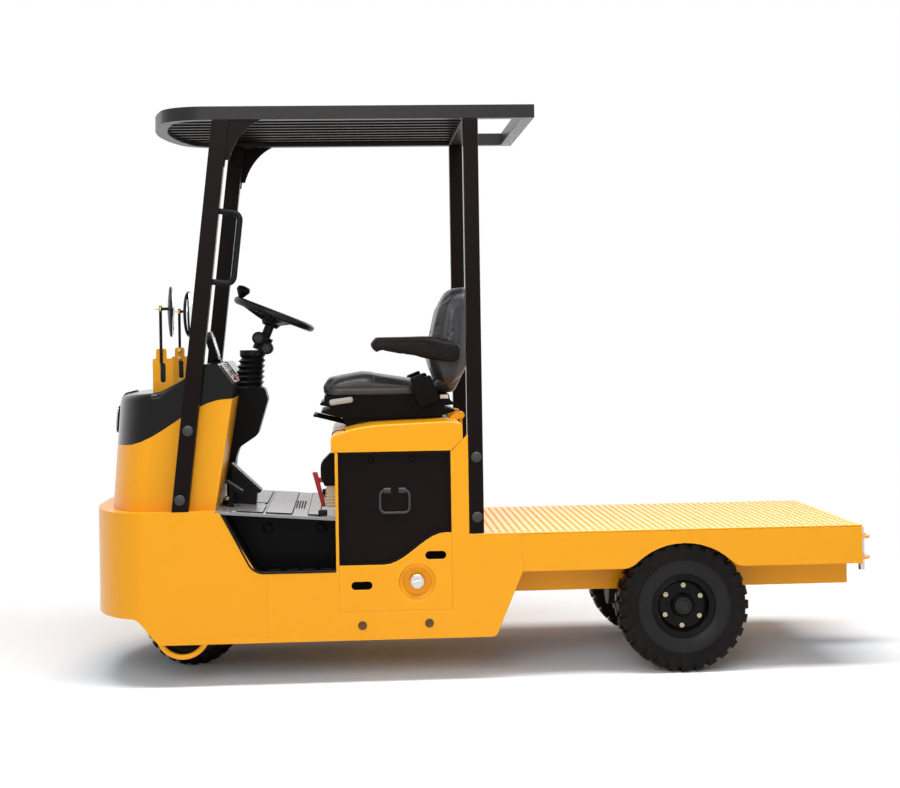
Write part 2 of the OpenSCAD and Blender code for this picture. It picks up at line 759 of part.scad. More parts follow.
// Tie-down loop below the nose sheet
loop_z = ground_clearance + 50;
module tie_loop(right) color(yellow) on_floor() side(right)
    translate([0, inner_w - loop_t / 2 - fit, loop_z]) rotate([90, 0, 0]) difference() {
        rotate_extrude() translate([loop_r - loop_t / 2, 0]) circle(d = loop_t);
        translate([-loop_r - 1, 20, -loop_t]) cube([2 * loop_r + 2, loop_r, 2 * loop_t]);
    }

// Cowl faces: rear face behind the front axle, front edge ahead of it, and the S of the seam
cowl_front = front_overhang - cowl_inset;
cover_top = cowl_h + cover_rise;
seam_front_z = cowl_h - cowl_seam_drop;
function cowl_back(z) = on_line([ledge_h, cowl_back_low], [cowl_h, cowl_back_top], z);
cowl_tilt = atan(cowl_lean / (cover_top - ledge_h));
function cowl_face(z) = cowl_front / cos(cowl_tilt) - (z - ledge_h) * tan(cowl_tilt);
seam_start = nose_straight + 100;
seam_run = nose_straight + 84 + cowl_back_top;
function cowl_seam(t) = [for (u = [0:0.1:1])
    [seam_start - u * seam_run, seam_front_z + cowl_seam_drop * (1 - cos(180 * u)) / 2 + t]];

module cowl_block() intersection() {
    translate([0, 0, ledge_h]) rotate([0, -cowl_tilt, 0]) translate([0, 0, -cowl_inset])
        linear_extrude(cowl_h) polygon(nose_outline(cowl_inset, -cowl_back_top - 40));
    slab(-half_w, half_w) children();
}

// Yellow cowl in front of the legs
module front_cowl() color(yellow) on_floor() cowl_block()
    polygon(concat([[cowl_front + 4, ledge_h], [cowl_front + 4, seam_front_z]],
        cowl_seam(0), [[-cowl_back_top, cowl_h], [-cowl_back_low, ledge_h]]));

// Black cover over the cowl: nose, rising flank, ridge and tilted instrument face, notched for the column
dash_h = cowl_h + dash_rise;
flank = [[88, cover_top + 13], [-19, cover_top + 68]];
face_low = dash_h - face_drop;
module dash_cover() color(black) on_floor() difference() {
    cowl_block() polygon(rounded([[-cowl_back_top, seam_front_z + fit, 0],
        [cowl_face(seam_front_z) + 2, seam_front_z + fit, 0], [cowl_face(cover_top) + 2, cover_top, 40],
        [flank[0][0], flank[0][1], 0], [flank[1][0], flank[1][1], 0], [-ridge_x, dash_h, 30],
        [-ridge_x - ridge_w, dash_h, 8], [-cowl_back_top - 8, face_low, 8],
        [-cowl_back_top, cowl_h + fit, 0]]));
    slab(-half_w, half_w) polygon(concat([[cowl_front + 4, ledge_h], [cowl_front + 4, seam_front_z + fit]],
        cowl_seam(fit), [[-cowl_back_top - 2, cowl_h + fit], [-cowl_back_top - 2, ledge_h]]));
    translate([-400, -column_notch, cowl_h - 40]) cube([400 - ridge_x - ridge_w + 10, 2 * column_notch,
        400]);
}

// Front lamp on the flat of the cover, leaning with it
lamp_z = cowl_h - lamp_drop;
lamp_half = nose_flat - 6;
module front_lamp() color(black) on_floor() translate([cowl_face(lamp_z) + fit, 0, lamp_z])
    rotate([0, -cowl_tilt, 0]) rotate([90, 0, 90]) linear_extrude(lamp_out)
        polygon(rounded([[-lamp_half, -lamp_h / 2, 24], [lamp_half, -lamp_h / 2, 24],
            [lamp_half, lamp_h / 2, 24], [-lamp_half, lamp_h / 2, 24]]));

// Tilted display on the ridge of the dash
display_tilt = 16;
module display_pod() color(black) on_floor() translate([-ridge_x - ridge_w / 2, display_y, dash_h + fit]) {
    translate([-20, -40, 0]) cube([40, 80, 14]);
    translate([0, 0, 10]) rotate([0, display_tilt, 0]) translate([-display_t / 2, 0, display_h / 2])
        rotate([90, 0, 90])
        linear_extrude(display_t) polygon(rounded([[-display_w / 2, -display_h / 2, 12],
            [display_w / 2, -display_h / 2, 12],
            [display_w / 2, display_h / 2, 36], [-display_w / 2, display_h / 2, 36]]));
}

// Slotted mirror brackets that stand on the cover
mirror_y = half_w - mirror_in;
bracket_x = 35;
bracket_top = cowl_h + bracket_rise;
tongue_w = 43;
tongue_h = 40;
tongue_x = bracket_x + bracket_l - 14 - tongue_w;
function cover_z(x) = x > flank[0][0] ? on_line([cowl_face(cover_top), cover_top], flank[0], x)
    : on_line(flank[0], flank[1], x);
module mirror_brackets() color(yellow) on_floor() for (s = [-1, 1])
    translate([0, s * mirror_y, 0]) slab(-bracket_t / 2, bracket_t / 2) difference() {
        polygon(rounded([[bracket_x + bracket_l, cover_z(bracket_x + bracket_l) + fit, 0],
            [bracket_x + bracket_l, bracket_top - tongue_h, 8],
            [tongue_x + tongue_w, bracket_top - tongue_h, 4],
            [tongue_x + tongue_w, bracket_top, 10], [tongue_x, bracket_top, 10],
            [tongue_x, bracket_top - tongue_h, 4], [bracket_x, bracket_top - tongue_h, 8],
            [bracket_x, cover_z(bracket_x) + fit, 0],
            [flank[0][0], cover_z(flank[0][0]) + fit, 0]]));
        translate([bracket_x + bracket_l / 2, bracket_top - 98]) {
            square([bracket_slot, 60], center = true);
            for (t = [-1, 1]) translate([0, 30 * t]) circle(d = bracket_slot);
        }
    }

// Round mirrors on stalks bolted to the brackets
stalk_y = bracket_t / 2 + stalk_d / 2 + fit;
mirror_z = cowl_h + mirror_rise;
mirror_turn = 6;
module mirrors() color(black) on_floor() for (s = [-1, 1])
    translate([bracket_x + bracket_l / 2 + 6, s * (mirror_y + stalk_y), mirror_z]) {
        translate([0, 0, -mirror_rise + bracket_rise - 61]) cylinder(d = stalk_d,
            h = mirror_rise - bracket_rise + 86);
        translate([6, 0, 12]) rotate([0, -90, 0]) cylinder(d = stalk_d, h = 44);
        translate([-36, 0, 0]) rotate([0, 0, s * mirror_turn]) rotate([0, -90, 0]) rotate_extrude()
            polygon([[0, -8], [mirror_d / 4, -5], [mirror_d / 2 - 6, 0], [mirror_d / 2, 4],
                [mirror_d / 2, 10], [0, 12]]);
    }

// Front guard post that leans back, with its concave gusset under the roof
gusset_bow = 0.55;
function gusset_curve(bowed, straight) = gusset_bow * bowed + (1 - gusset_bow) * straight;
module post_front(right) color(dark) on_floor() side(right) {
    slab(half_w - post_w, half_w) polygon([[front_post_foot + post_half, ledge_h + fit],
        [-front_post_top + post_half, roof_z - fit], [-front_post_top - post_half, roof_z - fit],
        [front_post_foot - post_half, ledge_h + fit]]);
    slab(half_w - 4 - gusset_t, half_w - 4) polygon(concat([[-front_post_top, roof_z - fit]],
        [for (a = [0:10:90]) [-front_post_top - post_half - gusset_l * gusset_curve(1 - sin(a), 1 - a / 90),
            roof_z - fit - gusset_h * gusset_curve(1 - cos(a), a / 90)]],
        [[-front_post_top, roof_z - gusset_h]]));
}

// Upright rear guard post
module post_rear(right) color(dark) on_floor() side(right)
    translate([box_rear - post_w, half_w - post_w, deck_h + fit])
        cube([post_w, post_w, roof_z - deck_h - 2 * fit]);

// Plan outline of the roof, inset by t
roof_turn = asin((half_w - roof_corner) / (roof_bow - roof_corner));
roof_bow_x = roof_front - roof_bow;
roof_corner_x = roof_bow_x + (roof_bow - roof_corner) * cos(roof_turn);
function roof_corner_point(t, a, s) = [roof_corner_x + (roof_corner - t) * sin(a),
    s * (half_w - roof_corner + (roof_corner - t) * cos(a))];
function roof_plan(t) = concat(
    [[roof_back + t, half_w - t]],
    [for (i = [0:8]) roof_corner_point(t, (90 - roof_turn) * i / 8, 1)],
    [for (i = [1:7]) [roof_bow_x + (roof_bow - t) * cos(roof_turn * (1 - i / 4)),
        (roof_bow - t) * sin(roof_turn * (1 - i / 4))]],
    [for (i = [8:-1:0]) roof_corner_point(t, (90 - roof_turn) * i / 8, -1)],
    [[roof_back + t, -half_w + t]]);

// Roof tube all round, with a cross beam over the rear posts
module roof_frame() color(dark) on_floor() translate([0, 0, roof_z]) {
    linear_extrude(roof_tube) difference() {
        polygon(roof_plan(0));
        polygon(roof_plan(roof_rail));
    }
    translate([box_rear - post_w, -half_w + roof_rail - 1, 0])
        cube([post_w, body_w - 2 * roof_rail + 2, roof_tube]);
}

// Corrugated roof sheet with ribs along the machine
function rib_line(z) = [for (i = [-rib_half_count - 1:rib_half_count]) for (p = [[0, 0], [0.2, 1],
    [0.5, 1], [0.7, 0]])
    [(i + p[0]) * rib_pitch, z + p[1] * rib_h]];
module roof_sheet() color(dark) on_floor() intersection() {
    translate([box_rear + fit, 0, roof_z + 16]) rotate([90, 0, 90]) linear_extrude(roof_front - box_rear)
        polygon(concat(rib_line(0), [for (i = [len(rib_line(0)) - 1:-1:0]) rib_line(roof_sheet_t)[i]]));
    translate([0, 0, roof_z]) linear_extrude(roof_tube) polygon(roof_plan(roof_rail + fit));
}

// Grab handle on the left front post, one bent bar
function post_x(z) = on_line([ledge_h, front_post_foot], [roof_z, -front_post_top], z);

module grip_corner(z, turn) translate([-grip_out + grip_bend, 0, z]) rotate([90, 0, 0]) rotate([0, 0, turn])
    rotate_extrude(angle = 90) translate([grip_bend, 0]) circle(d = grip_d);

module assist_grip() color(rubber) on_floor()
    translate([post_x(grip_low_z) - post_half - fit, post_y, grip_low_z]) rotate([0, -post_lean, 0]) {
        for (z = [0, grip_l]) translate([0, 0, z]) rotate([0, -90, 0]) cylinder(d = grip_d,
            h = grip_out - grip_bend);
        grip_corner(grip_bend, 180);
        grip_corner(grip_l - grip_bend, 90);
        translate([-grip_out, 0, grip_bend]) cylinder(d = grip_d, h = grip_l - 2 * grip_bend);
    }

// Steering column: shroud down to the floor, collar above the bellows and the tilt head
function up_column(u) = ledge_h + u * (column_z - ledge_h);
head_d = 70;
clamp_d = 54;
clamp_off = 24;
neck_d = 40;
module steering_column() color(black) on_floor() {
    slab(-column_w / 2, column_w / 2) polygon(rounded([[-ridge_x - ridge_w + 5, column_z, 6],
        [column_x - 70, column_z, 10],
        [column_x - 84, up_column(0.9), 24], [column_x - 38, up_column(0.58), 40],
            [column_x + 41, up_column(0.47), 40],
        [column_x + 56, up_column(0.37), 30],
            [-cowl_back(up_column(0.1)) - 34, floor_top(-cowl_back(ledge_h) - 34), 0],
        [-cowl_back(up_column(0.1)) - 10, floor_top(-cowl_back(ledge_h) - 10), 0],
        [-cowl_back(up_column(0.2)) - fit, up_column(0.2), 0], [-cowl_back_top - fit, cowl_h, 0],
        [-cowl_back_top - fit, cowl_h + fit, 0], [-ridge_x - ridge_w + 5, cowl_h + fit, 0]]));
    translate([hub_x, 0, hub_z]) rotate([0, -steer_tilt, 0]) {
        translate([0, 0, -hub_low - fit - 60]) cylinder(d = neck_d, h = 60);
        translate([0, 0, -hub_low - 110]) cylinder(d = head_d, h = 62);
        translate([clamp_off, 0, -hub_low - 62]) rotate([90, 0, 0])
            cylinder(d = clamp_d, h = 110, center = true);
        translate([-clamp_off, 0, -hub_low - 90]) rotate([90, 0, 0])
            cylinder(d = clamp_d, h = 90, center = true);
    }
    translate([column_x - rib_shift * (rib_n - 1), 0, column_z + bellows_h + 2 * fit])
        cylinder(d = bellows_d - 28, h = 22);
}

// Ribbed rubber bellows of the tilt column
module column_bellows() color(rubber) on_floor() translate([column_x, 0, column_z + fit])
    for (i = [0:rib_n - 1]) translate([-rib_shift * i, 0, rib_t * i]) {
        cylinder(d1 = bellows_d - rib_taper * i, d2 = bellows_d - 24 - rib_taper * i, h = rib_t / 2);
        translate([0, 0, rib_t / 2]) cylinder(d1 = bellows_d - 24 - rib_taper * i,
            d2 = bellows_d - rib_taper * (i + 1), h = rib_t / 2);
    }

// Accelerator and brake pedals on stems from the floor, clear of the cowl
pedal_gap = 9;
pedal_t = 12;
throttle_y = 150;
brake_y = 300;
module pedals() color(black) on_floor() {
    translate([0, throttle_y, 0]) {
        slab(-50, 50) pedal_plate(ledge_h + 162, 124, 124);
        slab(-44, 44) polygon([[-180, ledge_h + 146], [-284, ledge_h + 42], [-280, floor_top(-280) + pad_t],
            [-180, floor_top(-180) + pad_t]]);
    }
    translate([0, brake_y, 0]) {
        slab(-40, 40) pedal_plate(ledge_h + 100, 66, 52);
        slab(-8, 8) polygon([[-192, ledge_h + 92], [-178, ledge_h + 92], [-172, floor_top(-172)],
            [-192, floor_top(-172)]]);
    }
}

// Sloping pedal plate from its top end, run back and down
module pedal_plate(top, run, drop) polygon(rounded([[-cowl_back(top) - pedal_gap, top, 3],
    [-cowl_back(top) - pedal_gap - run, top - drop, 5],
        [-cowl_back(top) - pedal_gap - run - pedal_t, top - drop + pedal_t, 5],
    [-cowl_back(top) - pedal_gap - pedal_t, top + pedal_t / 2, 3]]));

// Battery plug housing, its socket and the release lever on the front of the battery box
plug_y = half_w - 220;
plug_z = floor_rear_h + 112;
module battery_connector() color("firebrick") on_floor() translate([box_x, plug_y, plug_z]) {
    slab(-40, 40) polygon(rounded([[0, 0, 0], [44, 0, 10], [60, 40, 24], [60, 96, 40], [20, 136, 14],
        [0, 136, 0]]));
    translate([0, -30, -86]) cube([36, 60, 86]);
    slab(-10, 10) polygon(rounded([[44, -86, 5], [56, -86, 5], [92, 52, 5], [78, 52, 5]]));
    translate([40, -10, 14]) cube([38, 20, 20]);
}

// Profile of the hood inset by t: low front, crowned top, slanted lower rear corner
hood_crest = box_rear + 76;
hood_brow = box_x - 107;
function hood_line(t) = rounded([[box_x + hood_lip - t, hood_low + t, 0],
    [box_x + hood_lip - t, hood_low + 66 - t / 2, 24 - t],
    [hood_brow - t / 4, hood_h - 13 - t, 0], [hood_crest, hood_h - t, 0],
        [hood_back + t, hood_h - 8 - t, 20 - t],
    [hood_back + t, hood_low + hood_cut + t / 2, 0], [hood_back + hood_cut + t / 2, hood_low + t, 0]]);
function hood_top(x) = x > hood_brow ? on_line([box_x + hood_lip, hood_low + 66],
    [hood_brow, hood_h - 13], x)
    : on_line([hood_brow, hood_h - 13], [hood_crest, hood_h], x);

// Hood shell over the battery that carries the seat, with its hinge pins and lugs
module hood() color(yellow) on_floor() {
    difference() {
        slab(-half_w + hood_out, half_w - hood_out) polygon(hood_line(0));
        slab(-half_w + hood_out + hood_skin, half_w - hood_out - hood_skin) polygon(hood_line(hood_skin));
        translate([hood_back + hood_cut, -half_w + hood_out + hood_skin, hood_low - 1])
            cube([box_x - 20 - hood_back - hood_cut, body_w - 2 * hood_out - 2 * hood_skin, 20]);
    }
    for (s = [-1, 1]) translate([0, s * hinge_y, 0]) {
        translate([hinge_x, 0, hinge_z]) rotate([90, 0, 0]) cylinder(d = hinge_pin, h = hinge_w + 40,
            center = true);
        for (e = [-1, 1]) translate([0, e * (hinge_w / 2 + 12), 0]) slab(-8, 8)
            polygon(rounded([[hinge_x - 13, hinge_z + 13, 12], [hinge_x - 13, hinge_z - 13, 12],
                [hinge_x + 10, hinge_z - 14, 0],
                [hood_back + 14, hood_h - 9, 0], [hood_crest - 20, hood_h - 3, 0],
                    [hood_crest - 26, hood_h + 8, 6],
                [hinge_x + 13, hinge_z + 13, 10]]));
    }
}

// Seat base: pedestal on the hood, two flared pans, slide bar and belt reels
base_half = 195;
pan_half = 215;
bar_d = 14;
bar_y = 110;
bar_x = box_x + 85;
bar_l = 145;
bar_tilt = 14.8;
reel_x = seat_x + 172;
module seat_base() color(black) on_floor() {
    slab(-base_half, base_half) polygon([[hood_crest + 10, hood_top(hood_crest + 10) + fit],
        [hood_brow, hood_top(hood_brow) + fit], [hood_brow + 60, hood_top(hood_brow + 60) + fit],
        [hood_brow + 84, pan_z - 8], [hood_crest + 4, pan_z - 8]]);
    slab(-pan_half, pan_half) polygon(rounded([[hood_brow + 84, pan_z - 22, 8],
        [cushion_front + 4, pan_z + 1, 3], [cushion_front + 4, pan_z + 8, 2],
        [cushion_front - 34, pan_z + 14, 0], [cushion_front - 34, pan_z + 24, 0],
        [cushion_front + 8, pan_z + 33, 3],
        [cushion_front + 7, pan_z + 41, 3], [cushion_front - 10, pan_z + 50, 6],
        [cushion_front - 10, seat_deck, 0], [seat_x + 70, seat_deck, 0], [seat_x + 64, pan_z + 42, 6],
        [seat_x + 47, pan_z + 34, 3], [seat_x + 48, pan_z + 26, 3], [seat_x + 90, pan_z + 22, 0],
        [seat_x + 90, pan_z + 12, 0], [seat_x + 45, pan_z + 4, 2], [seat_x + 46, pan_z - 3, 3],
        [hood_crest + 20, pan_z - 22, 8]]));
    for (s = [-1, 1]) {
        translate([bar_x, s * bar_y, pan_z - 14]) rotate([0, -90 - bar_tilt, 0])
            cylinder(d = bar_d - 3, h = bar_l);
        translate([reel_x, s * (seat_half + 28), seat_deck + 17]) rotate([0, 20, 0]) slab(-26, 26)
            polygon(rounded([[-45, -55, 12], [45, -55, 12], [45, 42, 20], [24, 55, 8], [-45, 55, 10]]));
        translate([reel_x - 30, s * (seat_half - 5) - 25, pan_z + 36])
            cube([60, 50, seat_deck - pan_z - 36 + fit / 2]);
    }
    translate([bar_x, 0, pan_z - 14]) rotate([90, 0, 0]) cylinder(d = bar_d, h = 2 * bar_y + bar_d,
        center = true);
}

// Seat cushion with a raised front and crest
module seat_cushion() color(black) on_floor() slab(-seat_half, seat_half)
    polygon(rounded([[cushion_front, seat_deck + fit, 8], [cushion_front + 8, seat_deck + 36, 14],
        [cushion_front - 14, seat_deck + cushion_t - 28, 24],
        [cushion_front - cushion_crest, seat_deck + cushion_t, cushion_crest],
        [cushion_front - cushion_l, seat_deck + 50, 12], [cushion_front - cushion_l, seat_deck + fit, 4]]));

// Seat backrest, thickest at the small of the back
module seat_backrest() color(black) on_floor() slab(-seat_half, seat_half)
    polygon(rounded([[seat_x + 158, seat_deck + fit, 4], [seat_x + 112, seat_deck + 40, 0],
        [seat_x + backrest_t, seat_deck + 153, 120],
        [seat_x + backrest_t - 46, seat_deck + backrest_h - 105, 200],
            [seat_x + 54, seat_deck + backrest_h - 10, 30],
        [seat_x - 24, seat_deck + backrest_h, 26], [seat_x - 18, seat_deck + 150, 60],
            [seat_x + 52, seat_deck + fit, 8]]));

// Armrests on the sides of the backrest
arm_x = seat_x + 22;
arm_z = seat_deck + armrest_rise;
module armrests() color(black) on_floor() for (s = [-1, 1])
    translate([0, s * (seat_half + armrest_w / 2 + fit), 0]) slab(-armrest_w / 2, armrest_w / 2)
        polygon(rounded([[arm_x + armrest_l, arm_z - 29, 6], [arm_x + armrest_l - 26, arm_z, 10],
            [arm_x + 117, arm_z, 60],
            [arm_x, arm_z - 31, 30], [arm_x, arm_z - 100, 30], [arm_x + 46, arm_z - 106, 20],
                [arm_x + 137, arm_z - 90, 40],
            [arm_x + armrest_l - 40, arm_z - 50, 0], [arm_x + armrest_l - 17, arm_z - 58, 6]]));

// Steering wheel: cone hub, three dished spokes, rim and spinner knob
rim_r = (steer_d - steer_grip) / 2;
module steering_wheel() color(black) on_floor() translate([hub_x, 0, hub_z]) rotate([0, -steer_tilt, 0]) {
    rotate_extrude() polygon([[0, -hub_low], [hub_d / 2 - 10, -hub_low], [hub_d / 2, -4], [hub_d / 2 + 3, 10],
        [hub_d / 2 - 4, rim_rise + 2], [hub_d / 2 - 12, rim_rise + 6], [0, rim_rise + 8]]);
    translate([0, 0, rim_rise]) rotate_extrude() translate([rim_r, 0]) circle(d = steer_grip);
    for (a = [0, 120, 240]) rotate([0, 0, a]) slab(-15, 15)
        polygon([[20, -8], [hub_d / 2 + 18, 0], [rim_r - 4, rim_rise - 9], [rim_r - 4, rim_rise + 5],
            [20, rim_rise + 1]]);
    rotate([0, 0, 20]) translate([rim_r, 0, rim_rise]) rotate_extrude() polygon([[0, 0], [11, 0], [10, 16],
        [16, 24], [spinner_d / 2, 44], [spinner_d / 2, 54], [spinner_d / 2 - 6, 63], [0, 67]]);
}

// Steered fork with its kingpin, crown, legs and the front axle pin
module steer_fork() color(dark) on_floor() {
    translate([-crown_half, -fork_in - fork_leg, crown_z]) cube([2 * crown_half,
        2 * (fork_in + fork_leg), crown_t]);
    translate([0, 0, crown_z + crown_t]) cylinder(d = kingpin_d + 40,
        h = bearing_low - crown_z - crown_t - fit);
    translate([0, 0, crown_z + crown_t]) cylinder(d = kingpin_d,
        h = bearing_low + bearing_h + 10 - crown_z - crown_t);
    translate([0, 0, bearing_low + bearing_h + fit]) cylinder(d = kingpin_d + 40, h = 24);
    for (s = [-1, 1]) translate([0, s * (fork_in + fork_leg / 2), 0]) slab(-fork_leg / 2, fork_leg / 2)
        polygon(rounded([[-crown_half, crown_z + 1, 0], [-50, front_r - 20, 60], [-34, front_r - 50, 34],
            [34, front_r - 50, 34], [50, front_r - 20, 60], [crown_half, crown_z + 1, 0]]));
    translate([0, 0, front_r]) rotate([90, 0, 0]) {
        cylinder(d = axle_pin, h = 2 * (fork_in + fork_leg) + 24, center = true);
        for (s = [-1, 1]) translate([0, 0, s * (fork_in + fork_leg / 2 + 4)])
            cylinder(d = axle_pin + 26, h = fork_leg + 8, center = true);
    }
}

// Rim turned about Y: bead seat of diameter d, width w, a disc at dish and a bored hub from y0 to y1
module rim(d, w, bore, hub_r, y0, y1, dish) rotate([-90, 0, 0]) rotate_extrude() polygon([[d / 2 + 17,
    -w / 2],
    [d / 2 + 17, -w / 2 + 7], [d / 2, -w / 2 + 8], [d / 2, w / 2 - 8], [d / 2 + 17, w / 2 - 7],
        [d / 2 + 17, w / 2],
    [d / 2 - 8, w / 2], [d / 2 - 8, dish + 12], [d / 2 - 20, dish], [hub_r + 3, dish], [hub_r, dish + 4],
        [hub_r, y1 - 4],
    [hub_r - 4, y1], [bore / 2 + pin_fit, y1], [bore / 2 + pin_fit, y0], [hub_r, y0], [hub_r, dish - 10],
    [d / 2 - 22, dish - 10], [d / 2 - 8, dish + 2], [d / 2 - 8, -w / 2]]);

// Tyre turned about Y, with grooves between the lugs of each shoulder
module tyre(d, w, seat, rim_w) rotate([90, 0, 0]) difference() {
    rotate_extrude($fn = 48) polygon([[seat / 2 + fit, -rim_w / 2 + 8 + fit],
        [seat / 2 + 20, -rim_w / 2 + 8 + fit],
        [d / 2 - 52, -w / 2], [d / 2 - 24, -w / 2 + 3], [d / 2 - 5, -w / 2 + 16], [d / 2, -w / 5],
            [d / 2, w / 5], [d / 2 - 5, w / 2 - 16],
        [d / 2 - 24, w / 2 - 3], [d / 2 - 52, w / 2], [seat / 2 + 20, rim_w / 2 - 8 - fit],
            [seat / 2 + fit, rim_w / 2 - 8 - fit]]);
    for (s = [-1, 1], i = [0:lug_count - 1]) rotate([0, 0, (i + s / 4) * 360 / lug_count])
        translate([d / 2 - lug_depth, -lug_groove / 2, s > 0 ? w * 0.06 : -w]) cube([2 * lug_depth,
            lug_groove, w * 0.94]);
}

module front_rim() color(dark) on_floor() translate([0, 0, front_r])
    rim(front_rim_d, front_rim_w, axle_pin, front_hub_r, -fork_in + 6, fork_in - 6, 5);

module front_tyre() color(rubber) on_floor() translate([0, 0, front_r])
    tyre(front_tyre_d, front_tyre_w, front_rim_d, front_rim_w);

module rear_rim(right) color(dark) on_floor() side(right) translate([rear_x, rear_wheel_y, rear_r])
    rim(rear_rim_d, rear_rim_w, stub_d, rear_hub_r, 0, rear_hub_out, dish_out);

module rear_tyre(right) color(rubber) on_floor() side(right) translate([rear_x, rear_wheel_y, rear_r])
    tyre(rear_tyre_d, rear_tyre_w, rear_rim_d, rear_rim_w);

nose_shell();
frame_side(false);  // frame_side_left
frame_side(true);  // frame_side_right
steer_crossmember();
deck_rail(false);  // deck_rail_left
deck_rail(true);  // deck_rail_right
deck_skirt(false);  // deck_skirt_left
deck_skirt(true);  // deck_skirt_right
deck_plate();
deck_front_beam();
deck_end_plate();
rear_axle();
tow_coupler();
tow_pin();
step_well(false);  // step_well_left
step_well(true);  // step_well_right
floor_mat();
battery_box();
battery();
lower_panel(false);  // lower_panel_left
lower_panel(true);  // lower_panel_right
side_panel(false);  // side_panel_left
side_panel(true);  // side_panel_right
tie_loop(false);  // tie_loop_left
tie_loop(true);  // tie_loop_right
front_cowl();
dash_cover();
front_lamp();
display_pod();
mirror_brackets();
mirrors();
post_front(false);  // post_front_left
post_front(true);  // post_front_right
post_rear(false);  // post_rear_left
post_rear(true);  // post_rear_right
roof_frame();
roof_sheet();
assist_grip();
steering_column();
column_bellows();
pedals();
battery_connector();
hood();
seat_base();
seat_cushion();
seat_backrest();
armrests();
steering_wheel();
steer_fork();
front_rim();
front_tyre();
rear_rim(false);  // rear_rim_left
rear_tyre(false);  // rear_tyre_left
rear_rim(true);  // rear_rim_right
rear_tyre(true);  // rear_tyre_right
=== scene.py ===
# %% [markdown]
# # Dressing an electric platform tow tractor
#
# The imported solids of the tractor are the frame: they say where every part is and which body it moves
# with. This lesson puts the looks on that frame. Sheet metal gets rolled edges and paint, the tyres get
# lugs, the seat gets stuffed cushions, and the small fittings that the photo shows are added on the parts
# that carry them.

# %% Load the frame
import json
import math
import bmesh
import bpy
import numpy as np
from mathutils import Matrix, Vector


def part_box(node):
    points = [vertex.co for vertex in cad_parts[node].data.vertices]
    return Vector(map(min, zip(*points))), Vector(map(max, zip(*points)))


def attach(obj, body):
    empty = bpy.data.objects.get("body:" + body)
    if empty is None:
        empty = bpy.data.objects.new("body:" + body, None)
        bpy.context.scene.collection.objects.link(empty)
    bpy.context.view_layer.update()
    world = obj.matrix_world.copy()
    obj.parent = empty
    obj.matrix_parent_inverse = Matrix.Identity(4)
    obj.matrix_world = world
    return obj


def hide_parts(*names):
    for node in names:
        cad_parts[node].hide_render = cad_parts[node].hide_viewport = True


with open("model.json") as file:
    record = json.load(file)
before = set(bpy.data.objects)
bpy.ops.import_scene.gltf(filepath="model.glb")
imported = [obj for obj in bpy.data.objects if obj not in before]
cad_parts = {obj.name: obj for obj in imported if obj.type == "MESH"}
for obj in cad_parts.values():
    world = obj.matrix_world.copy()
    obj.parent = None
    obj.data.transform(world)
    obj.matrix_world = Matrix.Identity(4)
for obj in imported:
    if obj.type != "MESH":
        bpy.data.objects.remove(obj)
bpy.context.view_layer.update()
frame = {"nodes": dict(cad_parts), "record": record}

scene = bpy.context.scene
record = frame["record"]
body_of = {node: body for body, members in record["behaviour"]["bodies"].items() for node in members}
slot_of = {row["node"]: row["material_slot"] for row in record["subparts"]}
sides = (("left", 1.0), ("right", -1.0))


def centre(node):
    low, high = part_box(node)
    return (low + high) / 2


axle = centre("front_tyre").x


def at(x, y, z):
    """A place in the maker's own measure: millimetres, with X counted from the front axle."""
    return Vector((axle + x / 1000.0, y / 1000.0, z / 1000.0))


def mm(x, y, z):
    return Vector((x, y, z)) / 1000.0


# %% [markdown]
# ## Camera
#
# The photo was taken from the left side, about 7.8 m out and at chest height, with the camera turned 4
# degrees towards the tail and tipped by about 1 degree. The numbers come from fitting wheels, posts, roof
# and deck edges to their places in the picture. The picture is a crop, so the lens axis is not in its
# middle: the shift says so.

# %% Camera
image_w, image_h = 900, 788
focal_px = 1814.0
axis_px = (483.0, 334.0)
camera_at = at(-694, 7824, 1390)
yaw, roll = math.radians(4.10), math.radians(0.90)
forward = Vector((-math.sin(yaw), -math.cos(yaw), 0.0))
level = Vector((-math.cos(yaw), math.sin(yaw), 0.0))
plumb = Vector((0.0, 0.0, 1.0))
right = math.cos(roll) * level - math.sin(roll) * plumb
above = math.sin(roll) * level + math.cos(roll) * plumb
lens = bpy.data.cameras.new("photo_lens")
lens.sensor_fit = "HORIZONTAL"
lens.sensor_width = 36.0
lens.lens = focal_px * lens.sensor_width / image_w
lens.shift_x = (image_w / 2 - axis_px[0]) / image_w
lens.shift_y = (axis_px[1] - image_h / 2) / image_w
camera = bpy.data.objects.new("photo_camera", lens)
camera.matrix_world = Matrix((right, above, -forward)).transposed().to_4x4()
camera.location = camera_at
scene.collection.objects.link(camera)
scene.camera = camera
scene.view_settings.view_transform = "Standard"
print("lens", round(lens.lens, 2), "mm, shift", round(lens.shift_x, 4), round(lens.shift_y, 4))

# %% [markdown]
# ## Studio
#
# A product picture of this kind is made on a white sweep under large soft lamps. Two broad panels light
# the top and the near side, a weaker one fills the far side. The world and the far floor are white only
# for rays that come from the camera or a mirror, so they never add light to the paint; the near floor is
# lit plainly and keeps the shadow. The floor is a little cooler under the machine, where the yellow paint
# throws warm light on it.

# %% Node tools


def add(tree, kind, inputs=None, **settings):
    """One node: settings are its own options, inputs are values or the sockets to link."""
    made = tree.nodes.new(kind)
    for key, value in settings.items():
        setattr(made, key, value)
    for key, value in (inputs or {}).items():
        if isinstance(value, bpy.types.NodeSocket):
            tree.links.new(value, made.inputs[key])
        else:
            made.inputs[key].default_value = value
    return made


def math_node(tree, operation, a, b=0.0, clamp=False):
    return add(tree, "ShaderNodeMath", {0: a, 1: b}, operation=operation, use_clamp=clamp).outputs[0]


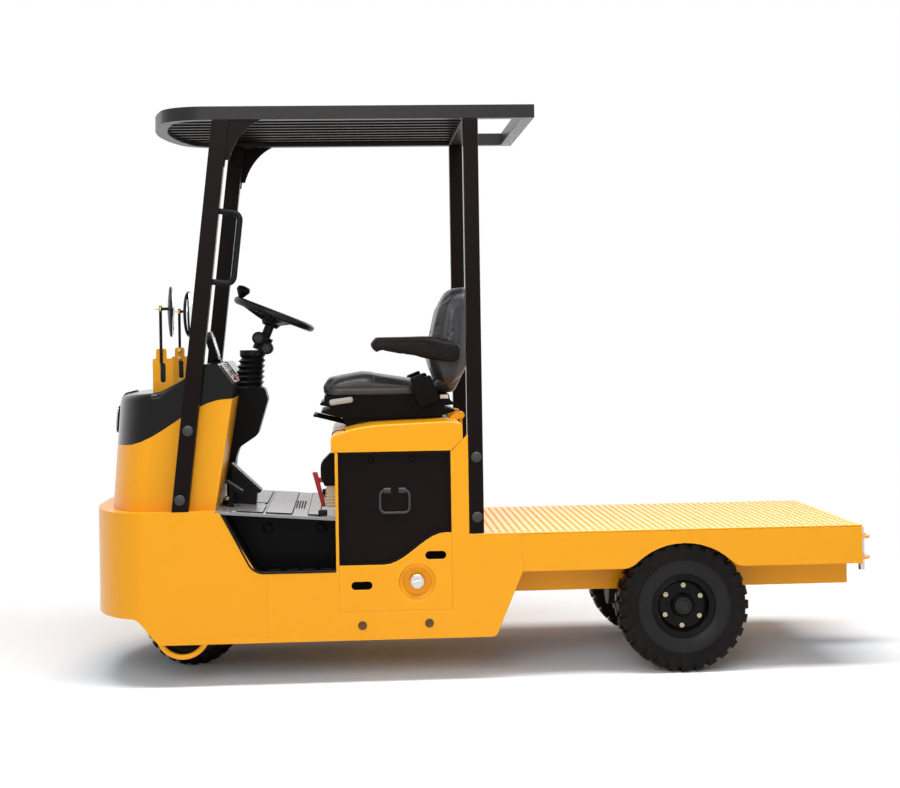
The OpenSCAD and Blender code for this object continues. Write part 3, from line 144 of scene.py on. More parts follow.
def mapped(tree, value, low=0.0, high=1.0, to_low=0.0, to_high=1.0):
    """The value carried from one range to another and held inside it."""
    ends = {"From Min": low, "From Max": high, "To Min": to_low, "To Max": to_high}
    return add(tree, "ShaderNodeMapRange", {"Value": value, **ends}).outputs[0]


def mix_colour(tree, factor, a, b):
    return add(tree, "ShaderNodeMix", {0: factor, 6: a, 7: b}, data_type="RGBA").outputs[2]


def seen_directly(tree):
    """1 for rays from the camera, a mirror or glass, 0 for the rays that light things."""
    path = add(tree, "ShaderNodeLightPath")
    both = math_node(tree, "ADD", path.outputs["Is Camera Ray"], path.outputs["Is Glossy Ray"])
    return math_node(tree, "ADD", both, path.outputs["Is Transmission Ray"], clamp=True)


def lamp(name, place, aim, size, power):
    data = bpy.data.lights.new(name, "AREA")
    data.shape = "RECTANGLE"
    data.size, data.size_y = size
    data.energy = power
    made = bpy.data.objects.new(name, data)
    made.location = place
    made.rotation_euler = (Vector(aim) - Vector(place)).to_track_quat("-Z", "Y").to_euler()
    scene.collection.objects.link(made)


# %% World, floor and lamps
white, black = (1.0, 1.0, 1.0, 1.0), (0.0, 0.0, 0.0, 1.0)
world_light = 0.36
world = bpy.data.worlds.new("white_studio")
scene.world = world
world.use_nodes = True
sky = world.node_tree
background = sky.nodes["Background"].inputs
background["Color"].default_value = white
sky.links.new(mapped(sky, seen_directly(sky), to_low=world_light), background["Strength"])

reach = 40.0
corners = [(-reach, -reach, 0), (reach, -reach, 0), (reach, reach, 0), (-reach, reach, 0)]
floor_mesh = bpy.data.meshes.new("studio_floor")
floor_mesh.from_pydata(corners, [], [(0, 1, 2, 3)])
floor = bpy.data.objects.new("studio_floor", floor_mesh)
scene.collection.objects.link(floor)

floor_paint = bpy.data.materials.new("studio_floor")
floor_paint.use_nodes = True
floor_mesh.materials.append(floor_paint)
tree = floor_paint.node_tree
tree.nodes.clear()
place = add(tree, "ShaderNodeTexCoord").outputs["Object"]
split = add(tree, "ShaderNodeSeparateXYZ", {0: place}).outputs
under = mapped(tree, math_node(tree, "ABSOLUTE", split["Y"]), 0.58, 0.22)
within = mapped(tree, math_node(tree, "ABSOLUTE", split["X"]), 1.9, 1.4)
# Painted shade tint: under the machine the floor colour is cooler, to cancel the warm light that the yellow
# paint throws into its shadow.
plain_floor, shade_tint_floor = (0.90, 0.90, 0.90, 1.0), (0.72, 0.82, 0.90, 1.0)
tint = mix_colour(tree, math_node(tree, "MULTIPLY", under, within), plain_floor, shade_tint_floor)
speck = add(tree, "ShaderNodeTexNoise", {"Vector": place, "Scale": 9.0, "Detail": 4.0}).outputs[0]
tone = mix_colour(tree, mapped(tree, speck, to_low=0.97), black, tint)
matt = add(tree, "ShaderNodeBsdfDiffuse", {"Color": tone, "Roughness": 1.0})
glow = add(tree, "ShaderNodeEmission", {"Color": white, "Strength": 1.0})
away = add(tree, "ShaderNodeVectorMath", {0: place}, operation="LENGTH").outputs["Value"]
share = math_node(tree, "MULTIPLY", mapped(tree, away, 2.3, 4.5), seen_directly(tree))
both = add(tree, "ShaderNodeMixShader", {0: share, 1: matt.outputs[0], 2: glow.outputs[0]})
add(tree, "ShaderNodeOutputMaterial", {"Surface": both.outputs[0]})

lamp("top_panel", (0.1, 1.2, 5.1), (0.0, 0.0, 0.6), (5.6, 1.8), 375)
lamp("near_panel", (1.6, 6.4, 3.4), (0.1, 0.0, 0.9), (4.0, 2.6), 92)
lamp("far_fill", (-2.0, -5.6, 3.2), (0.0, 0.0, 0.8), (4.0, 3.0), 110)
print("studio: 3 panels, world", world_light)

# %% [markdown]
# ## Finishes
#
# Every finish is built from the same few layers, as on the real surfaces: a colour that drifts a little
# from place to place, a roughness that is never even, and a relief at the scale of the real thing. Paint
# has orange peel, moulded plastic has a fine stipple, vinyl has a leather grain, rubber is dusty and
# plated metal is nearly smooth. Rolled edges carry a value that is set when the edges are rounded, and the
# colour is lighter there, broken up by noise: a painted highlight where light catches the edge.

# %% Finishes
finishes = {}


def rgba(colour, gain=1.0):
    return tuple(min(1.0, c * gain) for c in colour) + (1.0,)


def finish(name, colour, rough, drift=0.10, drift_scale=2.5, spread=0.10, peel=None, grain=None, wear=None,
           dust=None, spec=0.5, **fixed):
    """A layered finish. peel and grain are (scale, depth in mm); the painted edge highlight and dust are
    (colour, share).
    """
    made = bpy.data.materials.new(name)
    made.use_nodes = True
    tree = made.node_tree
    shader = tree.nodes["Principled BSDF"].inputs
    place = add(tree, "ShaderNodeTexCoord").outputs["Object"]
    noise = {"Vector": place, "Scale": drift_scale, "Detail": 5.0, "Roughness": 0.6}
    broad = add(tree, "ShaderNodeTexNoise", noise).outputs[0]
    fine = add(tree, "ShaderNodeTexNoise", {"Vector": place, "Scale": 60.0, "Detail": 4.0}).outputs[0]
    base = mix_colour(tree, broad, rgba(colour, 1.0 - drift), rgba(colour, 1.0 + drift))
    if dust:
        dust_colour, dust_share = dust
        patch = mapped(tree, math_node(tree, "MULTIPLY", broad, fine), 0.18, 0.42, to_high=dust_share)
        base = mix_colour(tree, patch, base, rgba(dust_colour))
    # Painted highlight: a lighter colour on rounded edges, broken up by noise.
    if wear:
        highlight_colour, highlight_share = wear
        edge = add(tree, "ShaderNodeAttribute", attribute_name="wear").outputs["Fac"]
        broken = mapped(tree, fine, 0.35, 0.7, to_high=highlight_share)
        base = mix_colour(tree, math_node(tree, "MULTIPLY", edge, broken), base, rgba(highlight_colour))
    tree.links.new(base, shader["Base Color"])
    uneven = mapped(tree, fine, 0.25, 0.75, rough - spread / 2, rough + spread / 2)
    tree.links.new(uneven, shader["Roughness"])
    normal = None
    for kind, layer in (("ShaderNodeTexNoise", peel), ("ShaderNodeTexVoronoi", grain)):
        if layer:
            scale, depth = layer
            relief = add(tree, kind, {"Vector": place, "Scale": scale})
            inputs = {"Height": relief.outputs[0], "Distance": depth / 1000.0, "Strength": 1.0}
            if normal:
                inputs["Normal"] = normal
            normal = add(tree, "ShaderNodeBump", inputs).outputs[0]
    if normal:
        tree.links.new(normal, shader["Normal"])
    shader["Specular IOR Level"].default_value = spec
    for key, value in fixed.items():
        shader[key.replace("_", " ")].default_value = value
    finishes[name] = made


finish("yellow_paint", (0.835, 0.354, 0.007), 0.32, drift=0.03, peel=(420, 0.03),
       wear=((1.0, 0.60, 0.15), 0.5), spec=0.10, Coat_Weight=0.26, Coat_Roughness=0.07)
finish("dark_paint", (0.0075, 0.0048, 0.0042), 0.34, drift=0.25, peel=(380, 0.05),
       wear=((0.05, 0.043, 0.040), 0.6), spec=0.06)
finish("rim_paint", (0.0036, 0.0032, 0.0030), 0.22, drift=0.25, peel=(300, 0.05),
       wear=((0.06, 0.06, 0.062), 0.6), spec=0.12)
finish("black_plastic", (0.0034, 0.0031, 0.0031), 0.33, drift=0.2, grain=(900, 0.08),
       wear=((0.05, 0.05, 0.052), 0.6), spec=0.07)
finish("cover_plastic", (0.0036, 0.0030, 0.0030), 0.14, drift=0.2, spread=0.05, peel=(140, 0.04),
       wear=((0.03, 0.03, 0.031), 0.4), spec=0.16, Coat_Weight=0.12, Coat_Roughness=0.05)
finish("black_rubber", (0.0062, 0.0060, 0.0062), 0.42, drift=0.25, grain=(520, 0.14),
       dust=((0.03, 0.028, 0.027), 0.2), spec=0.12)
finish("mat_rubber", (0.20, 0.202, 0.206), 0.24, drift=0.2, spread=0.08, grain=(620, 0.03),
       dust=((0.26, 0.26, 0.26), 0.3), spec=0.8)
finish("bellows_rubber", (0.0070, 0.0070, 0.0074), 0.34, drift=0.2, peel=(160, 0.04), spec=0.22)
# Painted sheen: a lighter, glossier copy of the tyre rubber for the sidewall band, standing in for the light
# that the hollow sidewall catches.
finish("sidewall_rubber", (0.0135, 0.0130, 0.0132), 0.30, drift=0.3, drift_scale=9.0, peel=(220, 0.16),
       spec=0.14)
finish("roof_paint", (0.020, 0.0186, 0.0184), 0.32, drift=0.2, peel=(380, 0.05),
       wear=((0.08, 0.075, 0.07), 0.5), spec=0.16)
# Painted shade: a near-black for the holes, the slots and the lines round the floor pads, where there is only
# shade.
finish("deep_black", (0.0010, 0.0009, 0.0009), 0.60, drift=0.1, spec=0.02)
finish("zinc", (0.56, 0.49, 0.34), 0.22, drift=0.15, drift_scale=60.0, spread=0.2, peel=(700, 0.04),
       Metallic=1.0)
finish("cap_rubber", (0.040, 0.040, 0.043), 0.45, drift=0.15, grain=(500, 0.1), spec=0.25)
finish("tyre_rubber", (0.0072, 0.0062, 0.0056), 0.40, drift=0.3, drift_scale=9.0, peel=(260, 0.18),
       dust=((0.020, 0.017, 0.015), 0.25), spec=0.09)
finish("seat_vinyl", (0.030, 0.0305, 0.0350), 0.33, drift=0.12, peel=(38, 0.3), grain=(640, 0.04),
       spec=0.46, Sheen_Weight=0.04)
finish("arm_plastic", (0.0100, 0.0084, 0.0084), 0.42, drift=0.2, grain=(760, 0.14), spec=0.10)
finish("bright_steel", (0.62, 0.61, 0.59), 0.26, drift=0.08, drift_scale=30.0, spread=0.16,
       peel=(700, 0.03), Metallic=1.0)
finish("brass", (0.55, 0.36, 0.13), 0.30, drift=0.12, drift_scale=40.0, spread=0.12, peel=(600, 0.03),
       Metallic=1.0)
finish("cast_metal", (0.016, 0.015, 0.0145), 0.52, drift=0.3, peel=(160, 0.5),
       dust=((0.06, 0.052, 0.045), 0.3), spec=0.2)
finish("plug_brown", (0.115, 0.048, 0.016), 0.48, drift=0.3, drift_scale=60.0, peel=(300, 0.1), spec=0.25)
finish("battery_case", (0.022, 0.022, 0.025), 0.45, drift=0.2, grain=(400, 0.2))
finish("red_plastic", (0.40, 0.020, 0.018), 0.33, drift=0.1, grain=(800, 0.08), spec=0.3)
finish("cream_plastic", (0.66, 0.58, 0.40), 0.42, drift=0.12, grain=(800, 0.1))
finish("grey_plastic", (0.42, 0.42, 0.42), 0.38, drift=0.08, grain=(700, 0.1))
finish("mirror_glass", (0.78, 0.80, 0.82), 0.035, drift=0.02, spread=0.02, Metallic=1.0)
finish("dark_glass", (0.008, 0.010, 0.012), 0.10, drift=0.3, spread=0.05, Coat_Weight=0.6)
finish("lamp_lens", (0.55, 0.57, 0.58), 0.12, drift=0.1, grain=(160, 1.2), Coat_Weight=0.8)
finish("blank_plate", (0.78, 0.77, 0.74), 0.35, drift=0.04, peel=(300, 0.03))
print(len(finishes), "finishes")

# %% [markdown]
# ## Rolled edges on the rigid parts
#
# Pressed sheet, welded tube and moulded covers never end in knife edges, and it is the light caught on
# the rounded edge that shows the shape. Each rigid node is copied, its loose triangles are joined, flat
# faces are merged, and then all edges sharper than a limit are rounded by a small radius. A few edges
# have a visibly larger radius on the tractor, such as the lip of the nose, the brow of the hood and the
# shoulders of the dash: those come first.

# %% Rounding tools


def joined_copy(node):
    """The node's mesh as one closed surface with flat faces merged."""
    work = bmesh.new()
    work.from_mesh(frame["nodes"][node].data)
    bmesh.ops.remove_doubles(work, verts=work.verts, dist=2e-5)
    bmesh.ops.dissolve_limit(work, angle_limit=math.radians(0.5), verts=work.verts, edges=work.edges)
    bmesh.ops.recalc_face_normals(work, faces=work.faces)
    return work


def round_edges(work, limit, width, steps, test=None, clamp=True):
    """Rounds the edges that are sharper than the limit in degrees and pass the test; width is in mm."""
    edges = []
    for edge in work.edges:
        if len(edge.link_faces) == 2 and edge.calc_face_angle(0.0) > math.radians(limit):
            if test is None or test((edge.verts[0].co + edge.verts[1].co) / 2, edge):
                edges.append(edge)
    bmesh.ops.bevel(work, geom=edges, offset=width / 1000.0, offset_type="OFFSET", segments=steps,
                    profile=0.5, affect="EDGES", clamp_overlap=clamp, loop_slide=True)


def mark_highlight_edges(work):
    """1 on points that lie inside a rounded edge, 0 on the flats that it joins; the painted edge highlight
    goes where it is 1.
    """
    layer = work.verts.layers.float.new("wear")
    for vert in work.verts:
        turns = [edge.calc_face_angle_signed(0.0) for edge in vert.link_edges if len(edge.link_faces) == 2]
        largest = max((face.calc_area() for face in vert.link_faces), default=0.0)
        vert[layer] = 1.0 if max(turns, default=0.0) > math.radians(15) and largest < 0.0008 else 0.0


def smoothed(mesh, angle=38.0):
    mesh.polygons.foreach_set("use_smooth", [True] * len(mesh.polygons))
    mesh.set_sharp_from_angle(angle=math.radians(angle))
    return mesh


def to_mesh(work, name, angle=38.0, outward=False):
    if outward:
        bmesh.ops.recalc_face_normals(work, faces=work.faces)
    mesh = bpy.data.meshes.new(name)
    work.to_mesh(mesh)
    work.free()
    return smoothed(mesh, angle)


def piece(name, mesh, body, slot, nodes=(), material=None):
    """A finished piece: it rides on its body, takes the slot's finish and stands for the nodes."""
    made = bpy.data.objects.new(name, mesh)
    scene.collection.objects.link(made)
    mesh.materials.clear()
    mesh.materials.append(finishes[material or slot])
    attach(made, body)
    if nodes:
        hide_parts(*nodes)
    return made


def even_normals(made):
    """Flat faces keep flat shading beside their rounded edges."""
    tool = made.modifiers.new("even", "WEIGHTED_NORMAL")
    tool.keep_sharp = True
    tool.weight = 80
    return made


def soften(node, width, steps=2, larger=(), material=None):
    """The node with rounded edges. larger lists what round_edges takes for edges with a bigger radius."""
    work = joined_copy(node)
    for rule in larger:
        round_edges(work, *rule)
    if width:
        round_edges(work, 30.0, width, steps)
    mark_highlight_edges(work)
    mesh = to_mesh(work, node + "_shape")
    return even_normals(piece(node + "_shape", mesh, body_of[node], slot_of[node], [node], material))


def repaint(made, finish_name, test):
    """Gives the faces that pass the test, in the maker's millimetres, another finish."""
    mesh = made.data
    mesh.materials.append(finishes[finish_name])
    last = len(mesh.materials) - 1
    for face in mesh.polygons:
        mid = face.center
        if test((mid.x - axle) * 1000, mid.y * 1000, mid.z * 1000):
            face.material_index = last


# %% Body, deck and guard with rounded edges


def run_of(edge):
    return (edge.verts[1].co - edge.verts[0].co).normalized()


def lip(mid, edge):
    return mid.z > 0.690


def brow(mid, edge):
    return abs(mid.y) > 0.50 and mid.z > 0.96 and abs(run_of(edge).y) < 0.2


def crown(mid, edge):
    return abs(run_of(edge).y) > 0.9 and abs(mid.x - at(-720, 0, 0).x) < 0.012 and mid.z > 1.0


def shoulder(mid, edge):
    return mid.z > 1.10 and mid.x > at(-15, 0, 0).x


# Widths in millimetres; a name that ends in an underscore is a pair, left and right
widths = {
    "frame_side_": 4, "deck_skirt_": 3, "deck_plate": 2, "deck_front_beam": 3, "deck_end_plate": 3,
    "deck_rail_": 3, "lower_panel_": 2, "battery_box": 3, "front_cowl": 5, "tow_coupler": 3, "tie_loop_": 0,
    "tow_pin": 1, "step_well_": 4, "post_front_": 5, "post_rear_": 5, "roof_sheet": 2, "assist_grip": 0,
    "mirror_brackets": 1.5, "mirrors": 1.5, "display_pod": 4, "front_lamp": 6, "steering_column": 3,
    "seat_base": 3, "steering_wheel": 3, "steer_fork": 3, "rear_axle": 4, "steer_crossmember": 3,
}
for stem, width in widths.items():
    for node in [stem + side for side, sign in sides] if stem.endswith("_") else [stem]:
        soften(node, width)
soften("nose_shell", 4, larger=[(30.0, 12, 4, lip)])
soften("hood", 4, larger=[(8.0, 70, 7, crown), (30.0, 36, 6, brow)])
soften("dash_cover", 4, larger=[(14.0, 26, 6, shoulder, False)], material="cover_plastic")
soften("floor_mat", 2, material="mat_rubber")
soften("roof_frame", 5, material="roof_paint")
soften("column_bellows", 2.5, material="bellows_rubber")
for node in ("side_panel_left", "side_panel_right"):
    soften(node, 2, material="dark_paint")
for node in ("front_rim", "rear_rim_left", "rear_rim_right"):
    soften(node, 2, steps=3, material="rim_paint")
case = frame["nodes"]["battery"].data.materials
case.clear()
case.append(finishes["battery_case"])

# %% [markdown]
# ## Rules for what repeats
#
# Lugs, nuts, caps and the bars of the tread plate repeat by a simple rule, so Geometry Nodes place them.
# One tree turns copies of a unit about the wheel axis, one sets a unit on points that know which way they
# face, one lays bars on a grid with every second bar turned, and one sweeps a round bar along a bent
# path. The result is turned into a plain mesh and the tree is left behind. Sizes of drawn shapes are in
# millimetres from here on.

# %% Trees for rings, faced points, tread bars and swept rods


def new_tree(name, **inputs):
    """A tree with a geometry input and output, and the named inputs with their kinds."""
    tree = bpy.data.node_groups.new(name, "GeometryNodeTree")
    for label, kind in {"Geometry": "Geometry", **inputs}.items():
        tree.interface.new_socket(label, in_out="INPUT", socket_type="NodeSocket" + kind)
    tree.interface.new_socket("Geometry", in_out="OUTPUT", socket_type="NodeSocketGeometry")
    return tree, tree.nodes.new("NodeGroupInput").outputs, tree.nodes.new("NodeGroupOutput").inputs


def close_tree(tree, given, result, points, turn):
    """Sets the unit on the points, makes it real and sends it out."""
    unit = add(tree, "GeometryNodeObjectInfo", {"Object": given["Unit"]}).outputs["Geometry"]
    copies = add(tree, "GeometryNodeInstanceOnPoints", {"Points": points, "Instance": unit, "Rotation": turn})
    real = add(tree, "GeometryNodeRealizeInstances", {"Geometry": copies.outputs[0]})
    tree.links.new(real.outputs[0], result[0])
    return tree


def ring_tree():
    tree, given, result = new_tree("ring", Unit="Object", Count="Int", Phase="Float")
    points = add(tree, "GeometryNodeMeshLine", {"Count": given["Count"], "Offset": (0.0, 0.0, 0.0)})
    index = add(tree, "GeometryNodeInputIndex").outputs[0]
    step = math_node(tree, "DIVIDE", 2 * math.pi, given["Count"])
    turn = math_node(tree, "ADD", math_node(tree, "MULTIPLY", index, step), given["Phase"])
    rotation = add(tree, "ShaderNodeCombineXYZ", {"Y": turn}).outputs[0]
    return close_tree(tree, given, result, points.outputs[0], rotation)


def faced_tree():
    tree, given, result = new_tree("faced", Unit="Object")
    way = add(tree, "GeometryNodeInputNamedAttribute", {"Name": "facing"}, data_type="FLOAT_VECTOR")
    rotation = add(tree, "FunctionNodeAlignRotationToVector", {"Vector": way.outputs[0]}, axis="Z")
    return close_tree(tree, given, result, given["Geometry"], rotation.outputs[0])


def bars_tree():
    tree, given, result = new_tree("bars", Unit="Object", Length="Float", Width="Float", Pitch="Float")
    across = math_node(tree, "ROUND", math_node(tree, "DIVIDE", given["Width"], given["Pitch"]))
    along = math_node(tree, "ROUND", math_node(tree, "DIVIDE", given["Length"], given["Pitch"]))
    size = {"Size X": given["Length"], "Size Y": given["Width"], "Vertices X": along, "Vertices Y": across}
    grid = add(tree, "GeometryNodeMeshGrid", size)
    index = add(tree, "GeometryNodeInputIndex").outputs[0]
    row = math_node(tree, "FLOOR", math_node(tree, "DIVIDE", index, across))
    column = math_node(tree, "MODULO", index, across)
    odd = math_node(tree, "MODULO", math_node(tree, "ADD", row, column), 2.0)
    turn = mapped(tree, odd, to_low=math.radians(45), to_high=math.radians(-45))
    rotation = add(tree, "ShaderNodeCombineXYZ", {"Z": turn}).outputs[0]
    return close_tree(tree, given, result, grid.outputs[0], rotation)


def sweep_tree():
    tree, given, result = new_tree("sweep", Radius="Float", Bend="Float", Sides="Int")
    path = add(tree, "GeometryNodeMeshToCurve", {"Mesh": given["Geometry"]}).outputs[0]
    bend = {"Curve": path, "Radius": given["Bend"], "Count": 6, "Limit Radius": True}
    bent = add(tree, "GeometryNodeFilletCurve", bend, mode="POLY").outputs[0]
    circle = {"Resolution": given["Sides"], "Radius": given["Radius"]}
    profile = add(tree, "GeometryNodeCurvePrimitiveCircle", circle).outputs[0]
    skin = add(tree, "GeometryNodeCurveToMesh", {"Curve": bent, "Profile Curve": profile, "Fill Caps": True})
    tree.links.new(skin.outputs[0], result[0])
    return tree


rings, faced, bars, sweeps = ring_tree(), faced_tree(), bars_tree(), sweep_tree()
print("trees:", rings.name, faced.name, bars.name, sweeps.name)

# %% Shape tools


def grown(tree, base=None, **values):
    """The plain mesh that a tree makes of a base mesh, with its inputs set by name."""
    carrier = bpy.data.objects.new("carrier", bpy.data.meshes.new("empty") if base is None else base)
    scene.collection.objects.link(carrier)
    tool = carrier.modifiers.new("rule", "NODES")
    tool.node_group = tree
    names = {item.name: item.identifier for item in tree.interface.items_tree if item.in_out == "INPUT"}
    for key, value in values.items():
        tool[names[key]] = value
    graph = bpy.context.evaluated_depsgraph_get()
    mesh = bpy.data.meshes.new_from_object(carrier.evaluated_get(graph))
    bpy.data.objects.remove(carrier)
    return mesh


def unit_of(mesh):
    """A unit for the trees: kept out of the scene, so that it is not a piece."""
    return bpy.data.objects.new(mesh.name, mesh)


def lathe(name, profile, steps):
    """A closed turned part about Z from (radius, height) points."""
    work = bmesh.new()
    rows = []
    for radius, height in profile:
        turns = [2 * math.pi * k / steps for k in range(steps if radius else 1)]
        rows.append([work.verts.new(mm(radius * math.cos(a), radius * math.sin(a), height)) for a in turns])
    for low, high in zip(rows, rows[1:]):
        for k in range(steps):
            n = (k + 1) % steps
            corners = [low[k % len(low)], low[n % len(low)], high[n % len(high)], high[k % len(high)]]
            work.faces.new(list(dict.fromkeys(corners)))
    for row in (rows[0], rows[-1]):
        if len(row) > 1:
            work.faces.new(row)
    return to_mesh(work, name, 35.0, outward=True)


def set_on(spots, unit_mesh):
    """Copies of a unit on spots, which are (place, direction)."""
    mesh = bpy.data.meshes.new("spots")
    mesh.from_pydata([tuple(place) for place, way in spots], [], [])
    facing = mesh.attributes.new("facing", "FLOAT_VECTOR", "POINT")
    facing.data.foreach_set("vector", [c for place, way in spots for c in way])
    return grown(faced, mesh, Unit=unit_of(unit_mesh))


def moved(mesh, offset):
    mesh.transform(Matrix.Translation(offset))
    return mesh


def joined(name, meshes, angle=38.0):
    work = bmesh.new()
    for mesh in meshes:
        work.from_mesh(mesh)
    return to_mesh(work, name, angle)


def fitting(name, shape, slot, material=None, body="chassis"):
    """A small piece that stands for no node. A list of meshes is joined."""
    mesh = joined(name, shape) if isinstance(shape, list) else shape
    return piece(name, mesh, body, slot, material=material)


def rod(points, radius, bend=0.0, sides=12, closed=False):
    """A round bar that follows the points, with its corners bent."""
    path = bpy.data.meshes.new("path")
    many = len(points)
    links = [(k, (k + 1) % many) for k in range(many if closed else many - 1)]
    path.from_pydata([tuple(point) for point in points], links, [])
    mesh = grown(sweeps, path, Radius=radius / 1000.0, Bend=bend / 1000.0, Sides=sides)
    work = bmesh.new()
    work.from_mesh(mesh)
    bmesh.ops.remove_doubles(work, verts=work.verts, dist=1e-6)
    return to_mesh(work, "rod", outward=True)


def facing(place, out, up):
    """A frame at a place: its Z points out of the surface and its Y up along it."""
    z = Vector(out).normalized()
    y = (Vector(up) - z * z.dot(Vector(up))).normalized()
    return Matrix.Translation(place) @ Matrix((y.cross(z), y, z)).transposed().to_4x4()


def shifted(place, x, y):
    return place @ Matrix.Translation(mm(x, y, 0.0))


def soft_rectangle(wide, tall, radius, steps=5):
    points = []
    for cx, cy, start in ((1, 1, 0), (-1, 1, 90), (-1, -1, 180), (1, -1, 270)):
        for k in range(steps + 1):
            a = math.radians(start + 90 * k / steps)
            points.append((cx * (wide / 2 - radius) + radius * math.cos(a),
                           cy * (tall / 2 - radius) + radius * math.sin(a)))
    return points


def plate(outline, thick, edge, place):
    """A plate of an outline, with its edges rounded, set on a frame."""
    work = bmesh.new()
    base = work.faces.new([work.verts.new(mm(x, y, 0.0)) for x, y in outline])
    raised = bmesh.ops.extrude_face_region(work, geom=[base])["geom"]
    top = [part for part in raised if isinstance(part, bmesh.types.BMVert)]
    bmesh.ops.translate(work, vec=mm(0.0, 0.0, thick), verts=top)
    bmesh.ops.recalc_face_normals(work, faces=work.faces)
    round_edges(work, 50.0, edge, 2)
    work.transform(place)
    return to_mesh(work, "plate")


def soft_plate(wide, tall, radius, thick, edge, place):
    return plate(soft_rectangle(wide, tall, radius), thick, edge, place)


# %% [markdown]
# ## Tyres
#
# The rear tyre is an industrial 6.00-9 with short lugs that run over the shoulder. A moulder makes it as
# a carcass turned from one section, with lugs standing on it: the section is turned here the same way,
# and the ring tree sets one lug after another, with the far row half a step on. The front tyre is a
# smaller one of the same kind.

# %% Tyres


def turned(name, section, steps):
    """A closed ring about the wheel axis Y from (radius, y) points."""
    work = bmesh.new()
    rows = []
    for k in range(steps):
        sine, cosine = math.sin(2 * math.pi * k / steps), math.cos(2 * math.pi * k / steps)
        rows.append([work.verts.new(mm(radius * sine, y, radius * cosine)) for radius, y in section])
    many = len(section)
    for here, after in zip(rows, rows[1:] + rows[:1]):
        for m in range(many):
            n = (m + 1) % many
            work.faces.new([here[m], here[n], after[n], after[m]])
    return to_mesh(work, name, 40.0, outward=True)


def lug_mesh(outer, half, angle, depth):
    """One lug on the +Y shoulder: sections (radius, y, share of the angle) from mid tread to the shoulder."""
    stations = [(outer, 4.0, 0.80), (outer, half * 0.45, 0.94), (outer - 1.5, half * 0.74, 1.0),
                (outer - 7.0, half * 0.92, 1.0), (outer - 20.0, half, 1.0),
                (outer - 36.0, half * 1.005, 0.96)]
    work = bmesh.new()
    loops = []
    for radius, y, share in stations:
        foot = (radius - depth, y * 0.97)
        skew = 0.30 * angle * (y / half - 0.5)
        loop = []
        for (r, across), side in ((foot, -1.0), ((radius, y), -0.94), ((radius, y), 0.94), (foot, 1.0)):
            a = side * share * angle + skew
            loop.append(work.verts.new(mm(r * math.sin(a), across, r * math.cos(a))))
        loops.append(loop)
    for one, two in zip(loops, loops[1:]):
        for k in range(4):
            work.faces.new([one[k], one[(k + 1) % 4], two[(k + 1) % 4], two[k]])
    work.faces.new(loops[0])
    work.faces.new(loops[-1])
    bmesh.ops.recalc_face_normals(work, faces=work.faces)
    round_edges(work, 50.0, 1.6, 1)
    return to_mesh(work, "lug", 35.0)


# One side of the carcass from the bead to the tread: share of the height, share of the half width
tyre_side = ((0.0, 0.60), (0.10, 0.74), (0.11, 0.80), (0.20, 0.87), (0.33, 0.95), (0.43, 0.98),
             (0.445, 0.985), (0.450, 1.02), (0.475, 1.02), (0.480, 0.985), (0.60, 0.985), (0.74, 0.965),
             (0.85, 0.90), (0.905, 0.80), (0.920, 0.66), (0.925, 0.30))


def tyre_mesh(name, outer, bead, half, count):
    tall = outer - bead
    side = [(bead + up * tall, out * half) for up, out in tyre_side]
    carcass = turned("carcass", side + [(r, -y) for r, y in reversed(side)], 112)
    unit = unit_of(lug_mesh(outer, half, math.pi / count * 0.64, 0.088 * tall))
    near = grown(rings, Unit=unit, Count=count, Phase=0.0)
    away = grown(rings, Unit=unit, Count=count, Phase=math.pi / count)
    away.transform(Matrix.Scale(-1.0, 4, (0.0, 1.0, 0.0)))
    away.flip_normals()
    return joined(name, [carcass, near, away], 36.0)


rear = (269.0, 115.5, 79.0, 28)
tyres = {"rear_tyre_left": rear, "rear_tyre_right": rear, "front_tyre": (206.8, 103.5, 52.0, 26)}
for node, (outer, bead, half, count) in tyres.items():
    hub, tall = centre(node), outer - bead

    # The band between the bead and the raised ring, ring included, on both sides gets the painted sheen.
    def on_sheen_band(x, y, z):
        up = math.hypot(x - (hub.x - axle) * 1000, z - hub.z * 1000) - bead
        return abs(y - hub.y * 1000) > 0.70 * half and 0.10 * tall < up < 0.481 * tall

    mesh = moved(tyre_mesh(node + "_shape", outer, bead, half, count), hub)
    repaint(piece(node + "_shape", mesh, body_of[node], "tyre_rubber", [node]), "sidewall_rubber", on_sheen_band)
    print(node, len(mesh.polygons), "faces")

# %% [markdown]
# ## Wheel nuts, post caps and plugs
#
# Six plated nuts hold each rear disc, and the rim and its hub are turned with raised rings. Domed caps
# cover the bolts of the guard posts, and flush plugs close the access holes in the sill and in the step.

# %% Nuts and rings of the rear wheels
disc_face = 21.5
nut = lathe("nut", [(0, 0), (12.5, 0), (12.5, 9), (10.5, 11.5), (6.8, 12), (6.6, 19), (5, 20.5),
                    (0, 20.8)], 6)
hub_bolt = lathe("hub_bolt", [(0, 0), (6.2, 0), (6.2, 4.2), (5, 5.2), (0, 5.4)], 6)
# Radius, distance from the middle of the wheel and thickness of the raised rings
rim_rings = ((130, 58, 3.4), (118, 57.2, 2.2), (107.5, 57.2, 3), (93.5, 22.8, 3), (48, 22.8, 2.6),
             (41.5, 39.2, 2.4), (34.5, 51.2, 2.2), (24, 51.6, 1.8))


def bolt_circle(mesh, radius, phase):
    """Six copies of a bolt on the face of the disc."""
    mesh.transform(Matrix.Translation(mm(0.0, 0.0, radius)) @ Matrix.Rotation(-math.pi / 2, 4, "X"))
    copies = grown(rings, Unit=unit_of(mesh), Count=6, Phase=math.radians(phase))
    return moved(copies, mm(0.0, disc_face, 0.0))


